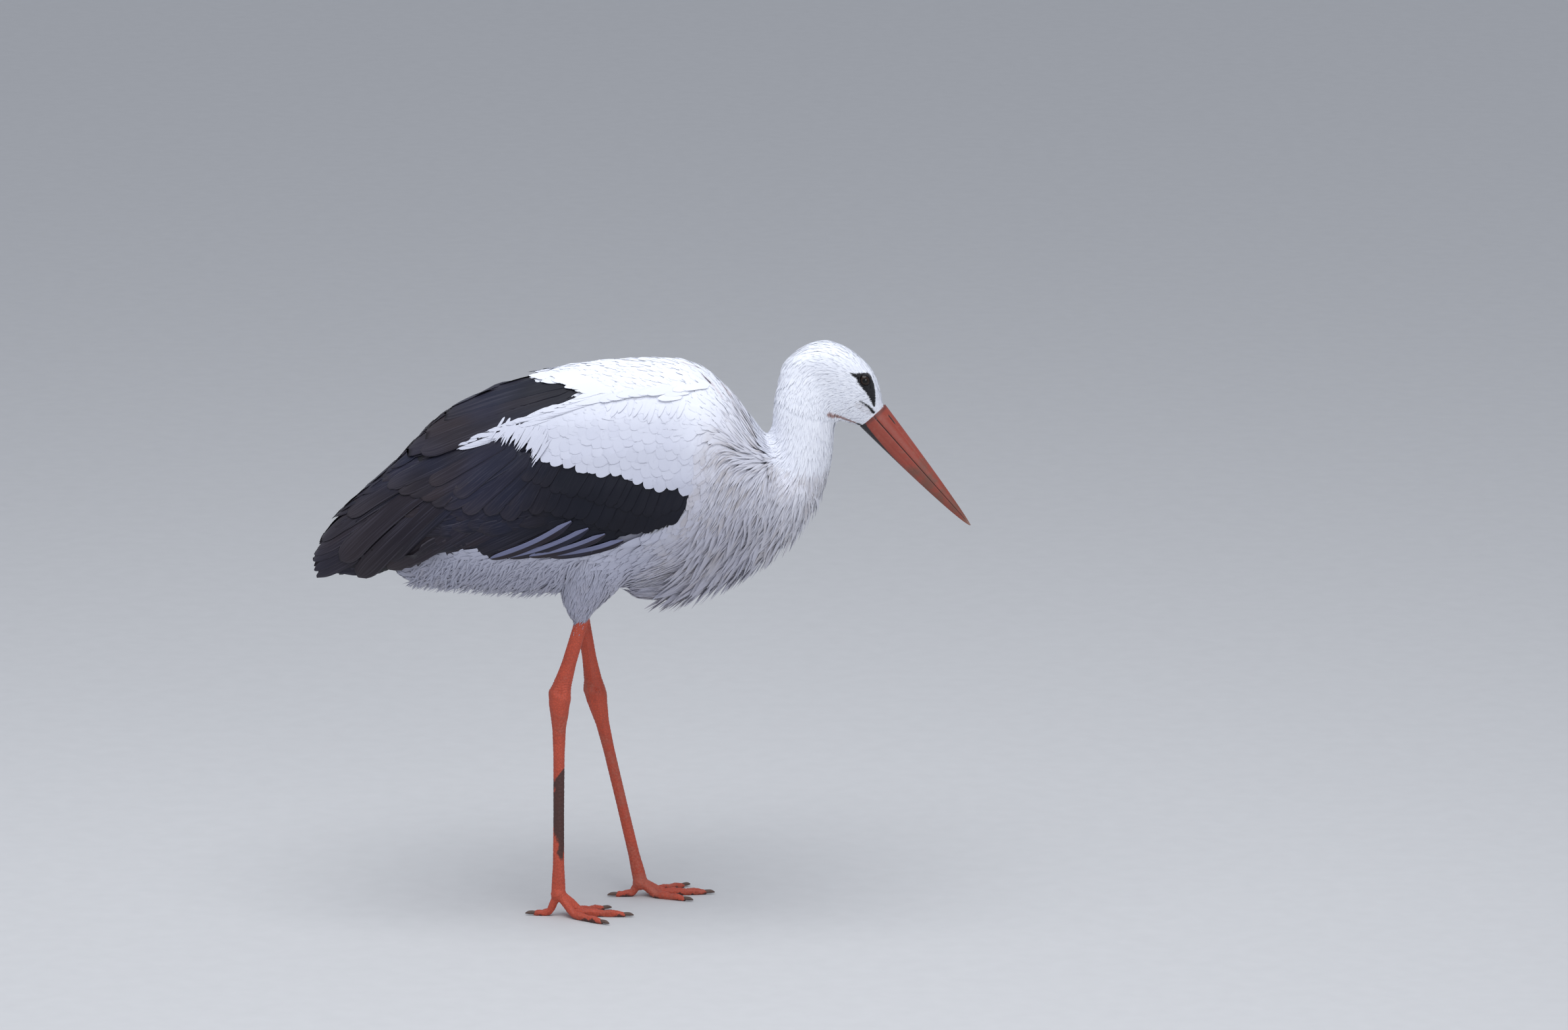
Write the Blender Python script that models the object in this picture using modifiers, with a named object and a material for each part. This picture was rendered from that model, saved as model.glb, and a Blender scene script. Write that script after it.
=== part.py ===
"""A white stork standing with its neck drawn in and its bill pointing down, as life-size solids.

The bird faces +X, its left side is +Y, and it stands on the plane z = 0 with the origin under the
middle of its box. The body is modelled whole, and is then parted with thin cuts into the pieces that
a person would name. Numbers in the tables are millimetres, and become metres where they are used.
"""

import math

import bmesh
import bpy
from mathutils import Matrix, Vector

MM = 0.001
GAP = 0.3 * MM  # left between pieces that touch

# Colours and finishes of the real bird: base colour, roughness.
FINISHES = {
    "white_plumage": ((0.86, 0.86, 0.85), 0.85),
    "black_plumage": ((0.020, 0.020, 0.026), 0.45),
    "bill_horn": ((0.52, 0.10, 0.055), 0.42),
    "leg_skin": ((0.60, 0.13, 0.075), 0.50),
    "claw_horn": ((0.42, 0.31, 0.26), 0.45),
    "eye": ((0.015, 0.012, 0.012), 0.08),
}

# The outside of the plumage, wings and all, as upright arches along the bird:
# x, height of the ridge, height of the keel, half width, power of the roof's curve.
HULL = (
    (-352, 384, 357, 11, 1.7),
    (-331, 424, 354, 25, 1.6),
    (-290, 462, 351, 42, 1.5),
    (-250, 500, 350, 57, 1.45),
    (-217, 535, 350, 68, 1.45),
    (-181, 557, 350, 77, 1.5),
    (-119, 582, 346, 89, 1.6),
    (-40, 597, 350, 97, 1.8),
    (42, 598, 360, 96, 1.95),
    (76, 581, 370, 89, 2.0),
    (104, 551, 384, 77, 2.0),
    (132, 513, 402, 60, 2.0),
    (156, 478, 424, 38, 2.0),
    (168, 460, 440, 12, 2.0),
)
# The trunk leaves the hull behind this station and closes at the root of the tail.
TRUNK_TAIL = (
    (-263, 396, 366, 9, 2.0),
    (-246, 420, 357, 25, 1.9),
    (-220, 462, 352, 44, 1.7),
)
TRUNK_FROM_X = -181
WIDEST = 0.45  # height of an arch's widest level, as a share of its height
BELLY_POWER = 2.1
ARCH_SIDES = 22
BODY_GRAIN = 4 * MM  # of the mesh that melts the body's forms together
BODY_TRIANGLES = 1880

# The shell that the folded wings make over the trunk.
SHELL_FRONT = 11 * MM
SHELL_TIP = 4.5 * MM

# Side outline of a folded wing, from the bend of the wing back over the shoulder feathers to the
# tip and forward along the lower edge: x, z.
WING_OUTLINE = (
    (56, 500), (44, 546), (4, 569), (-66, 562), (-141, 537), (-200, 509), (-250, 494), (-300, 500),
    (-362, 440), (-361, 366), (-338, 361), (-290, 364), (-222, 400), (-161, 411), (-100, 412),
    (-44, 427), (4, 427), (43, 448),
)
# Behind this outline's front the left wing reaches over the back, to the right wing's edge: x, z.
LAP_OUTLINE = (
    (-64, 550), (-64, 640), (-300, 640), (-300, 484), (-250, 484), (-200, 498), (-141, 525),
)
LAP = 62 * MM
# Where the white wing coverts end and the black feathers begin: x, z. The last rows run along the
# wing's upper edge, which the left wing's white stays under.
COVERTS_FRONT = ((-50, 640), (90, 640), (90, 466), (44, 473), (-10, 484), (-62, 498), (-107, 514))
COVERTS_EDGE = ((-152, 535), (-120, 547), (-90, 558), (-64, 565))
COVERTS_STEP = 6
# The long primaries lie behind a slanted line through this point: x, z, and the line's normal.
PRIMARIES_FROM = (-214, 446)
PRIMARIES_NORMAL = (-0.70, -0.71)

# Neck and breast as tubes in the middle plane: x, z, radius.
NECK = ((95, 436, 54), (126, 444, 50), (150, 462, 43), (166, 490, 36), (171, 520, 33.5),
        (172.5, 552, 32.5), (177, 584, 28))
NECK_WIDTH = 0.96
RUFF = ((160, 468, 34), (142, 438, 35), (118, 415, 34), (88, 392, 31), (52, 368, 24), (22, 354, 16),
        (-10, 348, 8))
RUFF_WIDTH = 1.4

# Cuts across the body: the new part, what it is cut from, a point x, z of the cut, and the way that
# the new part lies from it.
BODY_CUTS = (
    ("neck_lower", "trunk", (134, 503), (0.90, 0.43)),
    ("neck_upper", "neck_lower", (170, 496), (0.05, 1)),
    ("head", "neck_upper", (172, 548), (0.36, 0.93)),
    ("breast", "trunk", (66, 450), (0.96, -0.28)),
    ("rump", "trunk", (-186, 440), (-1, -0.15)),
)

# The head, as rings square to the bill: distance behind the bill's base, height over and depth under
# the bill's axis, half width.
BILL_BASE = Vector((245, 0, 537.5)) * MM
BILL_SLOPE = math.radians(49)
HEAD = (
    (-3, 14, -17, 10.5),
    (8, 20, -24, 13.5),
    (28, 29.5, -34.5, 20.5),
    (48, 31.5, -40, 23.5),
    (68, 28, -42, 26.5),
    (87, 19.5, -44, 27),
    (98, 7, -46, 23),
    (104, -11, -36, 11),
)
HEAD_SIDES = 24
HEAD_WIDEST = 0.6  # height of a ring's widest level, as a share of its height

BILL_LENGTH = 159 * MM
BILL_OVER = 16.2 * MM  # height over the axis at the base, and how it falls away to the tip
BILL_OVER_POWER = 0.75
BILL_UNDER = 19.3 * MM
BILL_UNDER_POWER = 0.64
BILL_HALF_WIDTH = 11 * MM
BILL_ROOT = 14 * MM  # how far the horn runs back under the skin
GAPE_HEIGHT = 1.0 * MM  # the line between the mandibles, over the axis at the base
BILL_STATIONS = 10

EYE_PLACE = (-36 * MM, 20 * MM)  # from the bill's base: along its axis, square to it
EYE_RADIUS = 7.5 * MM
EYE_OUT = 13.6 * MM  # of the eye's centre from the middle plane

# The folded tail: x, z, half width, thickness.
TAIL = ((-196, 436, 15, 13), (-240, 412, 21, 9), (-280, 393, 22, 6), (-314, 377, 19, 4))

# Each leg: thigh, ankle and ball of the foot as x, z, with the ball's height over the ground, and
# the way the toes point.
LEG_OUT = 42 * MM
FOOT_GRAIN = 1.3 * MM
FOOT_TRIANGLES = 410
LEGS = {
    "right": {"side": -1, "thigh": (-61, 332), "ankle": (-88, 241), "ball": (-90, 26), "toe_out": 4},
    "left": {"side": 1, "thigh": (-66.5, 319), "ankle": (-52, 227), "ball": (-4, 17), "toe_out": 6},
}
# Share of the way down the bone, radius.
SHANK_RADII = ((-0.25, 7.2), (0.2, 7.2), (0.6, 7.6), (0.85, 9.4), (0.97, 11.4))
TARSUS_RADII = ((0.04, 11.2), (0.10, 9.2), (0.17, 7.2), (0.3, 6.0), (0.6, 5.7), (0.86, 6.0), (0.95, 7.2),
                (1.0, 7.6))
LEG_WIDTH = 0.78  # a leg is narrower across than fore and aft
# Feathered thigh, from the flank down: x and z from the thigh point, radius.
THIGH = ((20, 76, 44), (10, 50, 38), (3, 30, 29), (-3, 12, 20), (-4, -4, 11))
THIGH_WIDTH = 0.78
THIGH_FLARE = 9  # the top of the thigh stands this much further out than the leg

# Toes: angle from the foot's heading, length to the root of the claw, radius.
TOES = {
    "inner": (30, 54, 3.9),
    "middle": (0, 72, 4.1),
    "outer": (-33, 60, 3.9),
    "hind": (180, 27, 3.6),
}
# Share of the toe's length, height as a share of the ball's, thickness. Its pads lie on the ground.
TOE_STEPS = (
    (0, 0.94, 1.25), (0.16, 0.62, 1.2), (0.34, 0.2, 1.08), (0.52, 0, 1.12), (0.68, 0, 0.92),
    (0.8, 0, 1.0), (0.93, 0, 0.78), (1, 0, 0.62),
)
CLAW_LENGTH = 8 * MM
CLAW_RADIUS = 2.3 * MM
# Share of the claw's length, lift in millimetres, thickness.
CLAW_STEPS = ((0.0, 0.6, 0.85), (0.35, 0.9, 1.0), (0.7, 0.45, 0.7), (1.0, -0.35, 0.25))
KNUCKLE_RADIUS = 8.2 * MM
KNUCKLE_DROP = 2  # of the knuckle's centre under the ball of the foot, in millimetres
SOLE_CUT = 0.7 * MM  # ground off the toes' undersides, to stand on


# ---------------------------------------------------------------- scene and helpers


def clear_scene():
    for obj in list(bpy.data.objects):
        bpy.data.objects.remove(obj)


def new_collection(name):
    collection = bpy.data.collections.new(name)
    bpy.context.scene.collection.children.link(collection)
    return collection


def finish(name):
    """The Principled material of that name."""
    colour, roughness = FINISHES[name]
    material = bpy.data.materials.get(name) or bpy.data.materials.new(name)
    material.use_nodes = True
    shader = material.node_tree.nodes["Principled BSDF"]
    shader.inputs["Base Color"].default_value = (*colour, 1)
    shader.inputs["Roughness"].default_value = roughness
    shader.inputs["Metallic"].default_value = 0
    return material


def object_of(name, mesh, collection):
    obj = bpy.data.objects.new(name, mesh)
    collection.objects.link(obj)
    return obj


def from_bmesh(name, shape, collection):
    bmesh.ops.recalc_face_normals(shape, faces=shape.faces)
    mesh = bpy.data.meshes.new(name)
    shape.to_mesh(mesh)
    shape.free()
    return object_of(name, mesh, collection)


def baked(obj):
    """Puts the evaluated shape in place of the object's own, so that it can be cut further."""
    graph = bpy.context.evaluated_depsgraph_get()
    mesh = bpy.data.meshes.new_from_object(obj.evaluated_get(graph))
    name, collection, place = obj.name, obj.users_collection[0], obj.matrix_world.copy()
    bpy.data.objects.remove(obj)
    mesh.transform(place)
    return object_of(name, mesh, collection)


def boolean(obj, other, operation, keep=False):
    """obj cut by, kept inside or joined to the other object, which goes away unless it is kept."""
    modifier = obj.modifiers.new(operation.lower(), "BOOLEAN")
    modifier.operation = operation
    modifier.object = other
    result = baked(obj)
    if not keep:
        bpy.data.objects.remove(other)
    return result


def copy_of(obj, name):
    return object_of(name, obj.data.copy(), obj.users_collection[0])


def grown(obj, name, by=GAP):
    """A copy whose surface stands that far outside the object's."""
    result = copy_of(obj, name)
    shape = bmesh.new()
    shape.from_mesh(result.data)
    shape.normal_update()
    moves = [vert.normal * vert.calc_shell_factor() * by for vert in shape.verts]
    for vert, move in zip(shape.verts, moves):
        vert.co += move
    shape.to_mesh(result.data)
    shape.free()
    return result


def half_of(obj, name, point, normal, collection):
    """The part of the object on the side of the plane that its normal points to."""
    shape = bmesh.new()
    shape.from_mesh(obj.data)
    everything = shape.verts[:] + shape.edges[:] + shape.faces[:]
    bmesh.ops.bisect_plane(
        shape, geom=everything, dist=1e-7, plane_co=point, plane_no=normal, clear_inner=True
    )
    rim = [edge for edge in shape.edges if edge.is_boundary]
    bmesh.ops.holes_fill(shape, edges=rim, sides=0)
    bmesh.ops.triangulate(shape, faces=[face for face in shape.faces if len(face.verts) > 4])
    return from_bmesh(name, shape, collection)


def part_at(obj, front_name, point, normal, collection):
    """Parts the object with a thin cut. Returns the front piece and the rest, which keeps its name."""
    point, normal = Vector(point), Vector(normal).normalized()
    rest_name = obj.name
    obj.name = "whole"
    front = half_of(obj, front_name, point + normal * GAP / 2, normal, collection)
    rest = half_of(obj, rest_name, point - normal * GAP / 2, -normal, collection)
    bpy.data.objects.remove(obj)
    return front, rest


def curve_between(before, a, b, after, t):
    """The value at t, from 0 at a to 1 at b, of the smooth curve through four evenly spaced values."""
    bend = 2 * before - 5 * a + 4 * b - after
    twist = 3 * a - before - 3 * b + after
    return a + 0.5 * ((b - before) * t + bend * t**2 + twist * t**3)


def smooth_rows(rows, steps):
    """Rows of numbers read from a smooth curve through the given rows."""
    ends = [rows[0], *rows, rows[-1]]
    found = []
    for four in zip(ends, ends[1:], ends[2:], ends[3:]):
        for step in range(steps):
            found.append([curve_between(*values, step / steps) for values in zip(*four)])
    return [*found, list(rows[-1])]


def oval(sides, half_width, top, bottom, top_power, bottom_power):
    """Points of a closed oval about a level line: sideways, upward. It starts at the top."""
    points = []
    for side in range(sides):
        angle = 2 * math.pi * side / sides
        across, up = math.sin(angle), math.cos(angle)
        power = 2 / (top_power if up > 0 else bottom_power)
        reach = top if up > 0 else bottom
        sideways = math.copysign(abs(across) ** power, across) * half_width
        upward = math.copysign(abs(up) ** power, up) * reach
        points.append((sideways, upward))
    return points


def loft(name, rings, collection):
    """A closed skin over rings that all have as many points, split alike however thick it is."""
    shape = bmesh.new()
    loops = [[shape.verts.new(point) for point in ring] for ring in rings]
    for near, far in zip(loops, loops[1:]):
        for i in range(len(near)):
            j = (i + 1) % len(near)
            shape.faces.new((near[i], near[j], far[j], far[i]))
    for loop in (loops[0], loops[-1]):
        middle = shape.verts.new(sum((vert.co for vert in loop), Vector()) / len(loop))
        for i in range(len(loop)):
            shape.faces.new((loop[i], loop[(i + 1) % len(loop)], middle))
    bmesh.ops.triangulate(shape, faces=shape.faces, quad_method="FIXED")
    return from_bmesh(name, shape, collection)


def tube(name, rows, collection, across=1.0, steps=3, resolution=4):
    """A round tube through x, y, z, radius rows, narrowed or widened sideways about its first row."""
    curve = bpy.data.curves.new(name, "CURVE")
    curve.dimensions = "3D"
    curve.bevel_depth = MM
    curve.bevel_resolution = resolution
    curve.use_fill_caps = True
    points = smooth_rows(rows, steps)
    spline = curve.splines.new("POLY")
    spline.points.add(len(points) - 1)
    for knot, (x, y, z, radius) in zip(spline.points, points):
        knot.co = (x * MM, y * MM, z * MM, 1)
        knot.radius = radius
    result = baked(object_of(name, curve, collection))
    shape = bmesh.new()
    shape.from_mesh(result.data)
    bmesh.ops.remove_doubles(shape, verts=shape.verts, dist=0.02 * MM)
    bmesh.ops.recalc_face_normals(shape, faces=shape.faces)
    middle = rows[0][1] * MM
    for vert in shape.verts:
        vert.co.y = middle + (vert.co.y - middle) * across
    shape.to_mesh(result.data)
    shape.free()
    return result


def joined(name, objects, collection):
    """One mesh that holds all the objects' shapes."""
    shape = bmesh.new()
    for obj in objects:
        shape.from_mesh(obj.data)
        bpy.data.objects.remove(obj)
    mesh = bpy.data.meshes.new(name)
    shape.to_mesh(mesh)
    shape.free()
    return object_of(name, mesh, collection)


def fused(obj, voxel, smoothing, triangles):
    """The shapes of the object melted into one skin, smoothed, and thinned to about that many faces."""
    remesh = obj.modifiers.new("melt", "REMESH")
    remesh.mode = "VOXEL"
    remesh.voxel_size = voxel
    smooth = obj.modifiers.new("smooth", "SMOOTH")
    smooth.factor = 0.5
    smooth.iterations = smoothing
    obj = baked(obj)
    thin = obj.modifiers.new("thin", "DECIMATE")
    thin.ratio = min(1.0, triangles / (2 * len(obj.data.polygons)))
    return baked(obj)


# ---------------------------------------------------------------- body


def arches(stations, inset=None):
    """Rings of the hull's arches. inset gives how far inside the hull they lie, at each x."""
    rings = []
    for x, ridge, keel, half_width, roof in stations:
        depth = inset(x) / MM if inset else 0
        level = keel + WIDEST * (ridge - keel)
        top, bottom = ridge - level - depth, level - keel - depth
        half_width = max(half_width - depth, 2)
        ring = [
            Vector((x, y, level + z)) * MM
            for y, z in oval(ARCH_SIDES, half_width, max(top, 2), max(bottom, 2), roof, BELLY_POWER)
        ]
        rings.append(ring)
    return rings


def shell_depth(x):
    """Thickness of the folded wing at that x, in metres."""
    share = min(1, max(0, (x - HULL[0][0]) / (-60 - HULL[0][0])))
    return SHELL_TIP + (SHELL_FRONT - SHELL_TIP) * share


def head_point(behind, side, up):
    """A place given by its distance behind the bill's base, sideways, and up from the bill's axis."""
    along = Vector((math.cos(BILL_SLOPE), 0, -math.sin(BILL_SLOPE)))
    above = Vector((math.sin(BILL_SLOPE), 0, math.cos(BILL_SLOPE)))
    return BILL_BASE - along * behind + above * up + Vector((0, side, 0))


def make_head(collection):
    rings = []
    for behind, top, bottom, half_width in smooth_rows(HEAD, 2):
        level = bottom + HEAD_WIDEST * (top - bottom)
        ring = oval(HEAD_SIDES, half_width, top - level, level - bottom, 2.4, 2.1)
        rings.append([head_point(behind * MM, y * MM, (level + z) * MM) for y, z in ring])
    return loft("head_form", rings, collection)


def make_body(collection):
    """Trunk, breast, neck and head as one closed skin."""
    front = [row for row in HULL if row[0] >= TRUNK_FROM_X]
    trunk = loft("trunk_form", arches(smooth_rows([*TRUNK_TAIL, *front], 2)), collection)
    neck = tube("neck_form", [(x, 0, z, r) for x, z, r in NECK], collection, NECK_WIDTH)
    ruff = tube("ruff_form", [(x, 0, z, r) for x, z, r in RUFF], collection, RUFF_WIDTH)
    whole = joined("trunk", [trunk, neck, ruff, make_head(collection)], collection)
    return fused(whole, BODY_GRAIN, 6, BODY_TRIANGLES)


# ---------------------------------------------------------------- wings


def prism(name, outline, low_y, high_y, collection):
    """The outline in the x-z plane, filled and drawn out from low_y to high_y."""
    curve = bpy.data.curves.new(name, "CURVE")
    curve.dimensions = "2D"
    curve.fill_mode = "BOTH"
    curve.extrude = (high_y - low_y) / 2
    spline = curve.splines.new("POLY")
    spline.use_cyclic_u = True
    spline.points.add(len(outline) - 1)
    for knot, (x, z) in zip(spline.points, outline):
        knot.co = (x * MM, z * MM, 0, 1)
    flat = object_of(name, curve, collection)
    flat.matrix_world = Matrix.Translation((0, (low_y + high_y) / 2, 0)) @ Matrix.Rotation(
        math.pi / 2, 4, "X"
    )
    bpy.context.view_layer.update()
    solid = baked(flat)
    shape = bmesh.new()
    shape.from_mesh(solid.data)
    bmesh.ops.remove_doubles(shape, verts=shape.verts, dist=0.02 * MM)
    bmesh.ops.recalc_face_normals(shape, faces=shape.faces)
    shape.to_mesh(solid.data)
    shape.free()
    return solid


def wing_zones(collection):
    """The space that each folded wing takes up. The left one laps over the back."""
    reach = 130 * MM
    outline = smooth_rows([*WING_OUTLINE, WING_OUTLINE[0]], 2)[:-1]
    right = prism("zone_right", outline, -reach, -GAP / 2, collection)
    left = prism("zone_left", outline, GAP / 2, reach, collection)
    lap = prism("zone_lap", LAP_OUTLINE, -LAP, reach - 10 * MM, collection)
    return right, left, lap


def make_wings(collection):
    """Both folded wings as curved shells, each in three pieces."""
    right, left, lap = wing_zones(collection)
    lap = boolean(lap, grown(right, "clearance", 1.3 * GAP), "DIFFERENCE")
    zones = {"right": right, "left": boolean(left, lap, "UNION")}
    stations = smooth_rows(HULL, 2)
    hull = loft("hull", arches(stations), collection)
    inside = loft("inside", arches(stations[2:], shell_depth), collection)
    x, z = PRIMARIES_FROM
    point, normal = Vector((x, 0, z)) * MM, (PRIMARIES_NORMAL[0], 0, PRIMARIES_NORMAL[1])
    for side, zone in zones.items():
        drop = COVERTS_STEP if side == "left" else 0
        outline = [*COVERTS_FRONT, *((x, z - drop) for x, z in COVERTS_EDGE)]
        coverts_zone = prism("zone_coverts", outline, -140 * MM, 140 * MM, collection)
        shell = boolean(copy_of(zone, "shell"), hull, "INTERSECT", keep=True)
        shell = boolean(shell, inside, "DIFFERENCE", keep=True)
        rest = boolean(copy_of(shell, "rest"), grown(coverts_zone, "rest_zone"), "DIFFERENCE")
        rest.name = f"wing_{side}_secondaries"
        part_at(rest, f"wing_{side}_primaries", point, normal, collection)
        shell.name = f"wing_{side}_coverts"
        boolean(shell, coverts_zone, "INTERSECT")
    for helper in (hull, inside, *zones.values()):
        bpy.data.objects.remove(helper)


def cut_wing_beds(body, collection):
    """Sinks a bed for each wing into the body, so that the wings lie in its surface."""
    stations = smooth_rows(HULL, 2)[2:]
    deeper = loft("deeper", arches(stations, lambda x: shell_depth(x) + GAP), collection)
    for zone in wing_zones(collection):
        bed = boolean(grown(zone, "bed"), deeper, "DIFFERENCE", keep=True)
        bpy.data.objects.remove(zone)
        body = boolean(body, bed, "DIFFERENCE")
    bpy.data.objects.remove(deeper)
    return body


# ---------------------------------------------------------------- bill, eyes and tail


def make_bill(collection):
    """The whole bill as one horn, parted along the gape into its two mandibles."""
    rings = []
    for station in range(BILL_STATIONS + 1):
        share = station / BILL_STATIONS
        ahead = share**0.9 * (BILL_LENGTH + BILL_ROOT) - BILL_ROOT
        left = max(0, 1 - max(0, ahead) / BILL_LENGTH)
        size = 0.8 if ahead < 0 else 1
        over = max(BILL_OVER * left**BILL_OVER_POWER * size, 0.6 * MM)
        under = max(BILL_UNDER * left**BILL_UNDER_POWER * size, 0.6 * MM)
        half_width = max(BILL_HALF_WIDTH * left**0.85 * size, 0.6 * MM)
        ring = oval(14, half_width, over, under, 1.9, 1.9)
        rings.append([head_point(-ahead, y, z) for y, z in ring])
    bill = loft("bill_lower", rings, collection)
    tip = head_point(-BILL_LENGTH, 0, -0.1 * MM)
    back = head_point(0, 0, GAPE_HEIGHT)
    up = (tip - back).cross(Vector((0, -1, 0)))
    part_at(bill, "bill_upper", back, up, collection)


def make_eyes(collection):
    back, up = EYE_PLACE
    for name, side in (("eye_right", -1), ("eye_left", 1)):
        shape = bmesh.new()
        place = Matrix.Translation(head_point(-back, side * EYE_OUT, up))
        turn = Matrix.Rotation(math.pi / 2, 4, "X")
        bmesh.ops.create_uvsphere(
            shape, u_segments=12, v_segments=8, radius=EYE_RADIUS, matrix=place @ turn
        )
        from_bmesh(name, shape, collection)


def make_tail(collection):
    rings = []
    for x, z, half_width, thickness in smooth_rows(TAIL, 2):
        ring = oval(12, half_width, thickness / 2, thickness / 2, 2.6, 2.6)
        # The folded feathers droop a little at the sides.
        rings.append([Vector((x, y, z + up - y * y / 160)) * MM for y, up in ring])
    return loft("tail", rings, collection)


# ---------------------------------------------------------------- legs


def between(a, b, share):
    return tuple(p + (q - p) * share for p, q in zip(a, b))


def leg_rows(leg):
    """Rows down the leg: x, y, z, radius."""
    y = leg["side"] * LEG_OUT / MM
    rows = []
    for upper, lower, radii in (
        (leg["thigh"], leg["ankle"], SHANK_RADII),
        (leg["ankle"], leg["ball"], TARSUS_RADII),
    ):
        for share, radius in radii:
            x, z = between(upper, lower, share)
            rows.append((x, y, z, radius))
    return rows


def toe_rows(ball, angle, length, radius):
    """Rows along a toe, from the ball of the foot down to the ground and out to the claw."""
    x, y, z = ball
    rows = []
    for share, height, size in TOE_STEPS:
        ahead = length * share
        lying = radius * size - SOLE_CUT / MM
        middle = max(lying, z * height)
        rows.append((x + math.cos(angle) * ahead, y + math.sin(angle) * ahead, middle, radius * size))
    return rows


def make_claw(name, root, angle, collection):
    """A blunt curved claw that starts just ahead of the toe and stays clear of the ground."""
    rows = []
    for share, lift, size in CLAW_STEPS:
        ahead = share * CLAW_LENGTH + GAP
        rows.append(
            (
                (root.x + math.cos(angle) * ahead) / MM,
                (root.y + math.sin(angle) * ahead) / MM,
                (CLAW_RADIUS + lift * MM) / MM,
                CLAW_RADIUS * size / MM,
            )
        )
    return tube(name, rows, collection, 1.0, 1, 1)


def make_foot(side_name, leg, collection):
    """Four toes melted together round the ball of the foot, ground flat below, and their claws."""
    x, z = leg["ball"]
    ball = (x, leg["side"] * LEG_OUT / MM, z)
    heading = math.radians(leg["side"] * leg["toe_out"])
    toes = []
    for toe, (turn, length, radius) in TOES.items():
        angle = heading + math.radians(turn) * -leg["side"]
        rows = toe_rows(ball, angle, length, radius)
        toes.append(tube(f"toe_{toe}", rows, collection, 1.0, 3, 3))
        tip = Vector(rows[-1][:3]) * MM
        tip += Vector((math.cos(angle), math.sin(angle), 0)) * GAP
        make_claw(f"claw_{side_name}_{toe}", tip, angle, collection)
    shape = bmesh.new()
    place = Matrix.Translation(Vector((x, ball[1], z - KNUCKLE_DROP)) * MM)
    bmesh.ops.create_uvsphere(shape, u_segments=16, v_segments=10, radius=KNUCKLE_RADIUS, matrix=place)
    knuckle = from_bmesh("knuckle", shape, collection)
    foot = joined(f"foot_{side_name}", [*toes, knuckle], collection)
    return fused(foot, FOOT_GRAIN, 1, FOOT_TRIANGLES)


def make_leg(side_name, leg, body, collection):
    """Thigh, shank, tarsus and foot, each fitted to the one above it."""
    limb = tube(f"shank_{side_name}", leg_rows(leg), collection, LEG_WIDTH, 1, 3)
    x, z = leg["ankle"]
    tarsus, shank = part_at(limb, f"tarsus_{side_name}", (x * MM, 0, z * MM), (0, 0, -1), collection)

    foot = make_foot(side_name, leg, collection)
    foot = boolean(foot, grown(tarsus, "clearance"), "DIFFERENCE")
    foot.name = "unground"
    half_of(foot, f"foot_{side_name}", (0, 0, 0), (0, 0, 1), collection)
    bpy.data.objects.remove(foot)

    x, z = leg["thigh"]
    rows = []
    for back, up, radius in THIGH:
        out = LEG_OUT / MM + THIGH_FLARE * up / THIGH[0][1]
        rows.append((x + back, leg["side"] * out, z + up, radius))
    thigh = tube(f"thigh_{side_name}", rows, collection, THIGH_WIDTH, 2, 4)
    thigh = boolean(thigh, grown(shank, "clearance"), "DIFFERENCE")
    boolean(thigh, grown(body, "clearance"), "DIFFERENCE")


# ---------------------------------------------------------------- the whole bird


def part_body(collection):
    """Parts the body into head, neck, breast, trunk and rump."""
    for new_part, source, (x, z), (ahead, up) in BODY_CUTS:
        place = Vector((x, 0, z)) * MM
        part_at(bpy.data.objects[source], new_part, place, (ahead, 0, up), collection)


def fit_head(collection):
    """Makes room in the head for the root of the bill and for the eyes."""
    head = bpy.data.objects["head"]
    for name in ("bill_upper", "bill_lower", "eye_right", "eye_left"):
        head = boolean(head, grown(bpy.data.objects[name], "clearance"), "DIFFERENCE")


def paint(collection):
    """Gives each piece its material and shades its round faces smooth."""
    finishes = {
        "wing": "black_plumage",
        "bill": "bill_horn",
        "eye": "eye",
        "claw": "claw_horn",
        "shank": "leg_skin",
        "tarsus": "leg_skin",
        "foot": "leg_skin",
    }
    for obj in collection.objects:
        name = finishes.get(obj.name.split("_")[0], "white_plumage")
        if obj.name.endswith("_coverts"):
            name = "white_plumage"
        obj.data.materials.clear()
        obj.data.materials.append(finish(name))
        obj.data.shade_smooth()
        obj.data.set_sharp_from_angle(angle=math.radians(40))


def centre_over_origin(collection):
    """Sets the middle of the bird's box over the origin, with its soles at z = 0."""
    corners = [obj.matrix_world @ Vector(corner) for obj in collection.objects for corner in obj.bound_box]
    low = Vector([min(corner[axis] for corner in corners) for axis in range(3)])
    high = Vector([max(corner[axis] for corner in corners) for axis in range(3)])
    shift = Vector((-(low.x + high.x) / 2, -(low.y + high.y) / 2, -low.z))
    for obj in collection.objects:
        obj.data.transform(Matrix.Translation(shift))
    print("centred by", [round(value / MM, 2) for value in shift], "mm")


def main():
    clear_scene()
    stork = new_collection("white_stork")
    body = cut_wing_beds(make_body(stork), stork)
    make_wings(stork)
    for side_name, leg in LEGS.items():
        make_leg(side_name, leg, body, stork)
    tail = make_tail(stork)
    boolean(tail, grown(body, "clearance"), "DIFFERENCE")
    part_body(stork)
    make_bill(stork)
    make_eyes(stork)
    fit_head(stork)
    paint(stork)
    bpy.context.view_layer.update()
    centre_over_origin(stork)


main()
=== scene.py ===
# %% [markdown]
# # A white stork, standing still
#
# This lesson dresses a solid model of a white stork. The solids give the outline and the places of
# things. Over them come one skin, a bill, eyes and claws, and then the plumage: thousands of small
# closed feathers, laid in the order in which a bird carries them.
#
# Lengths are in metres. The bird looks along +X, its left side is +Y, and it stands on z = 0.

# %% Load the solids
import math

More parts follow.
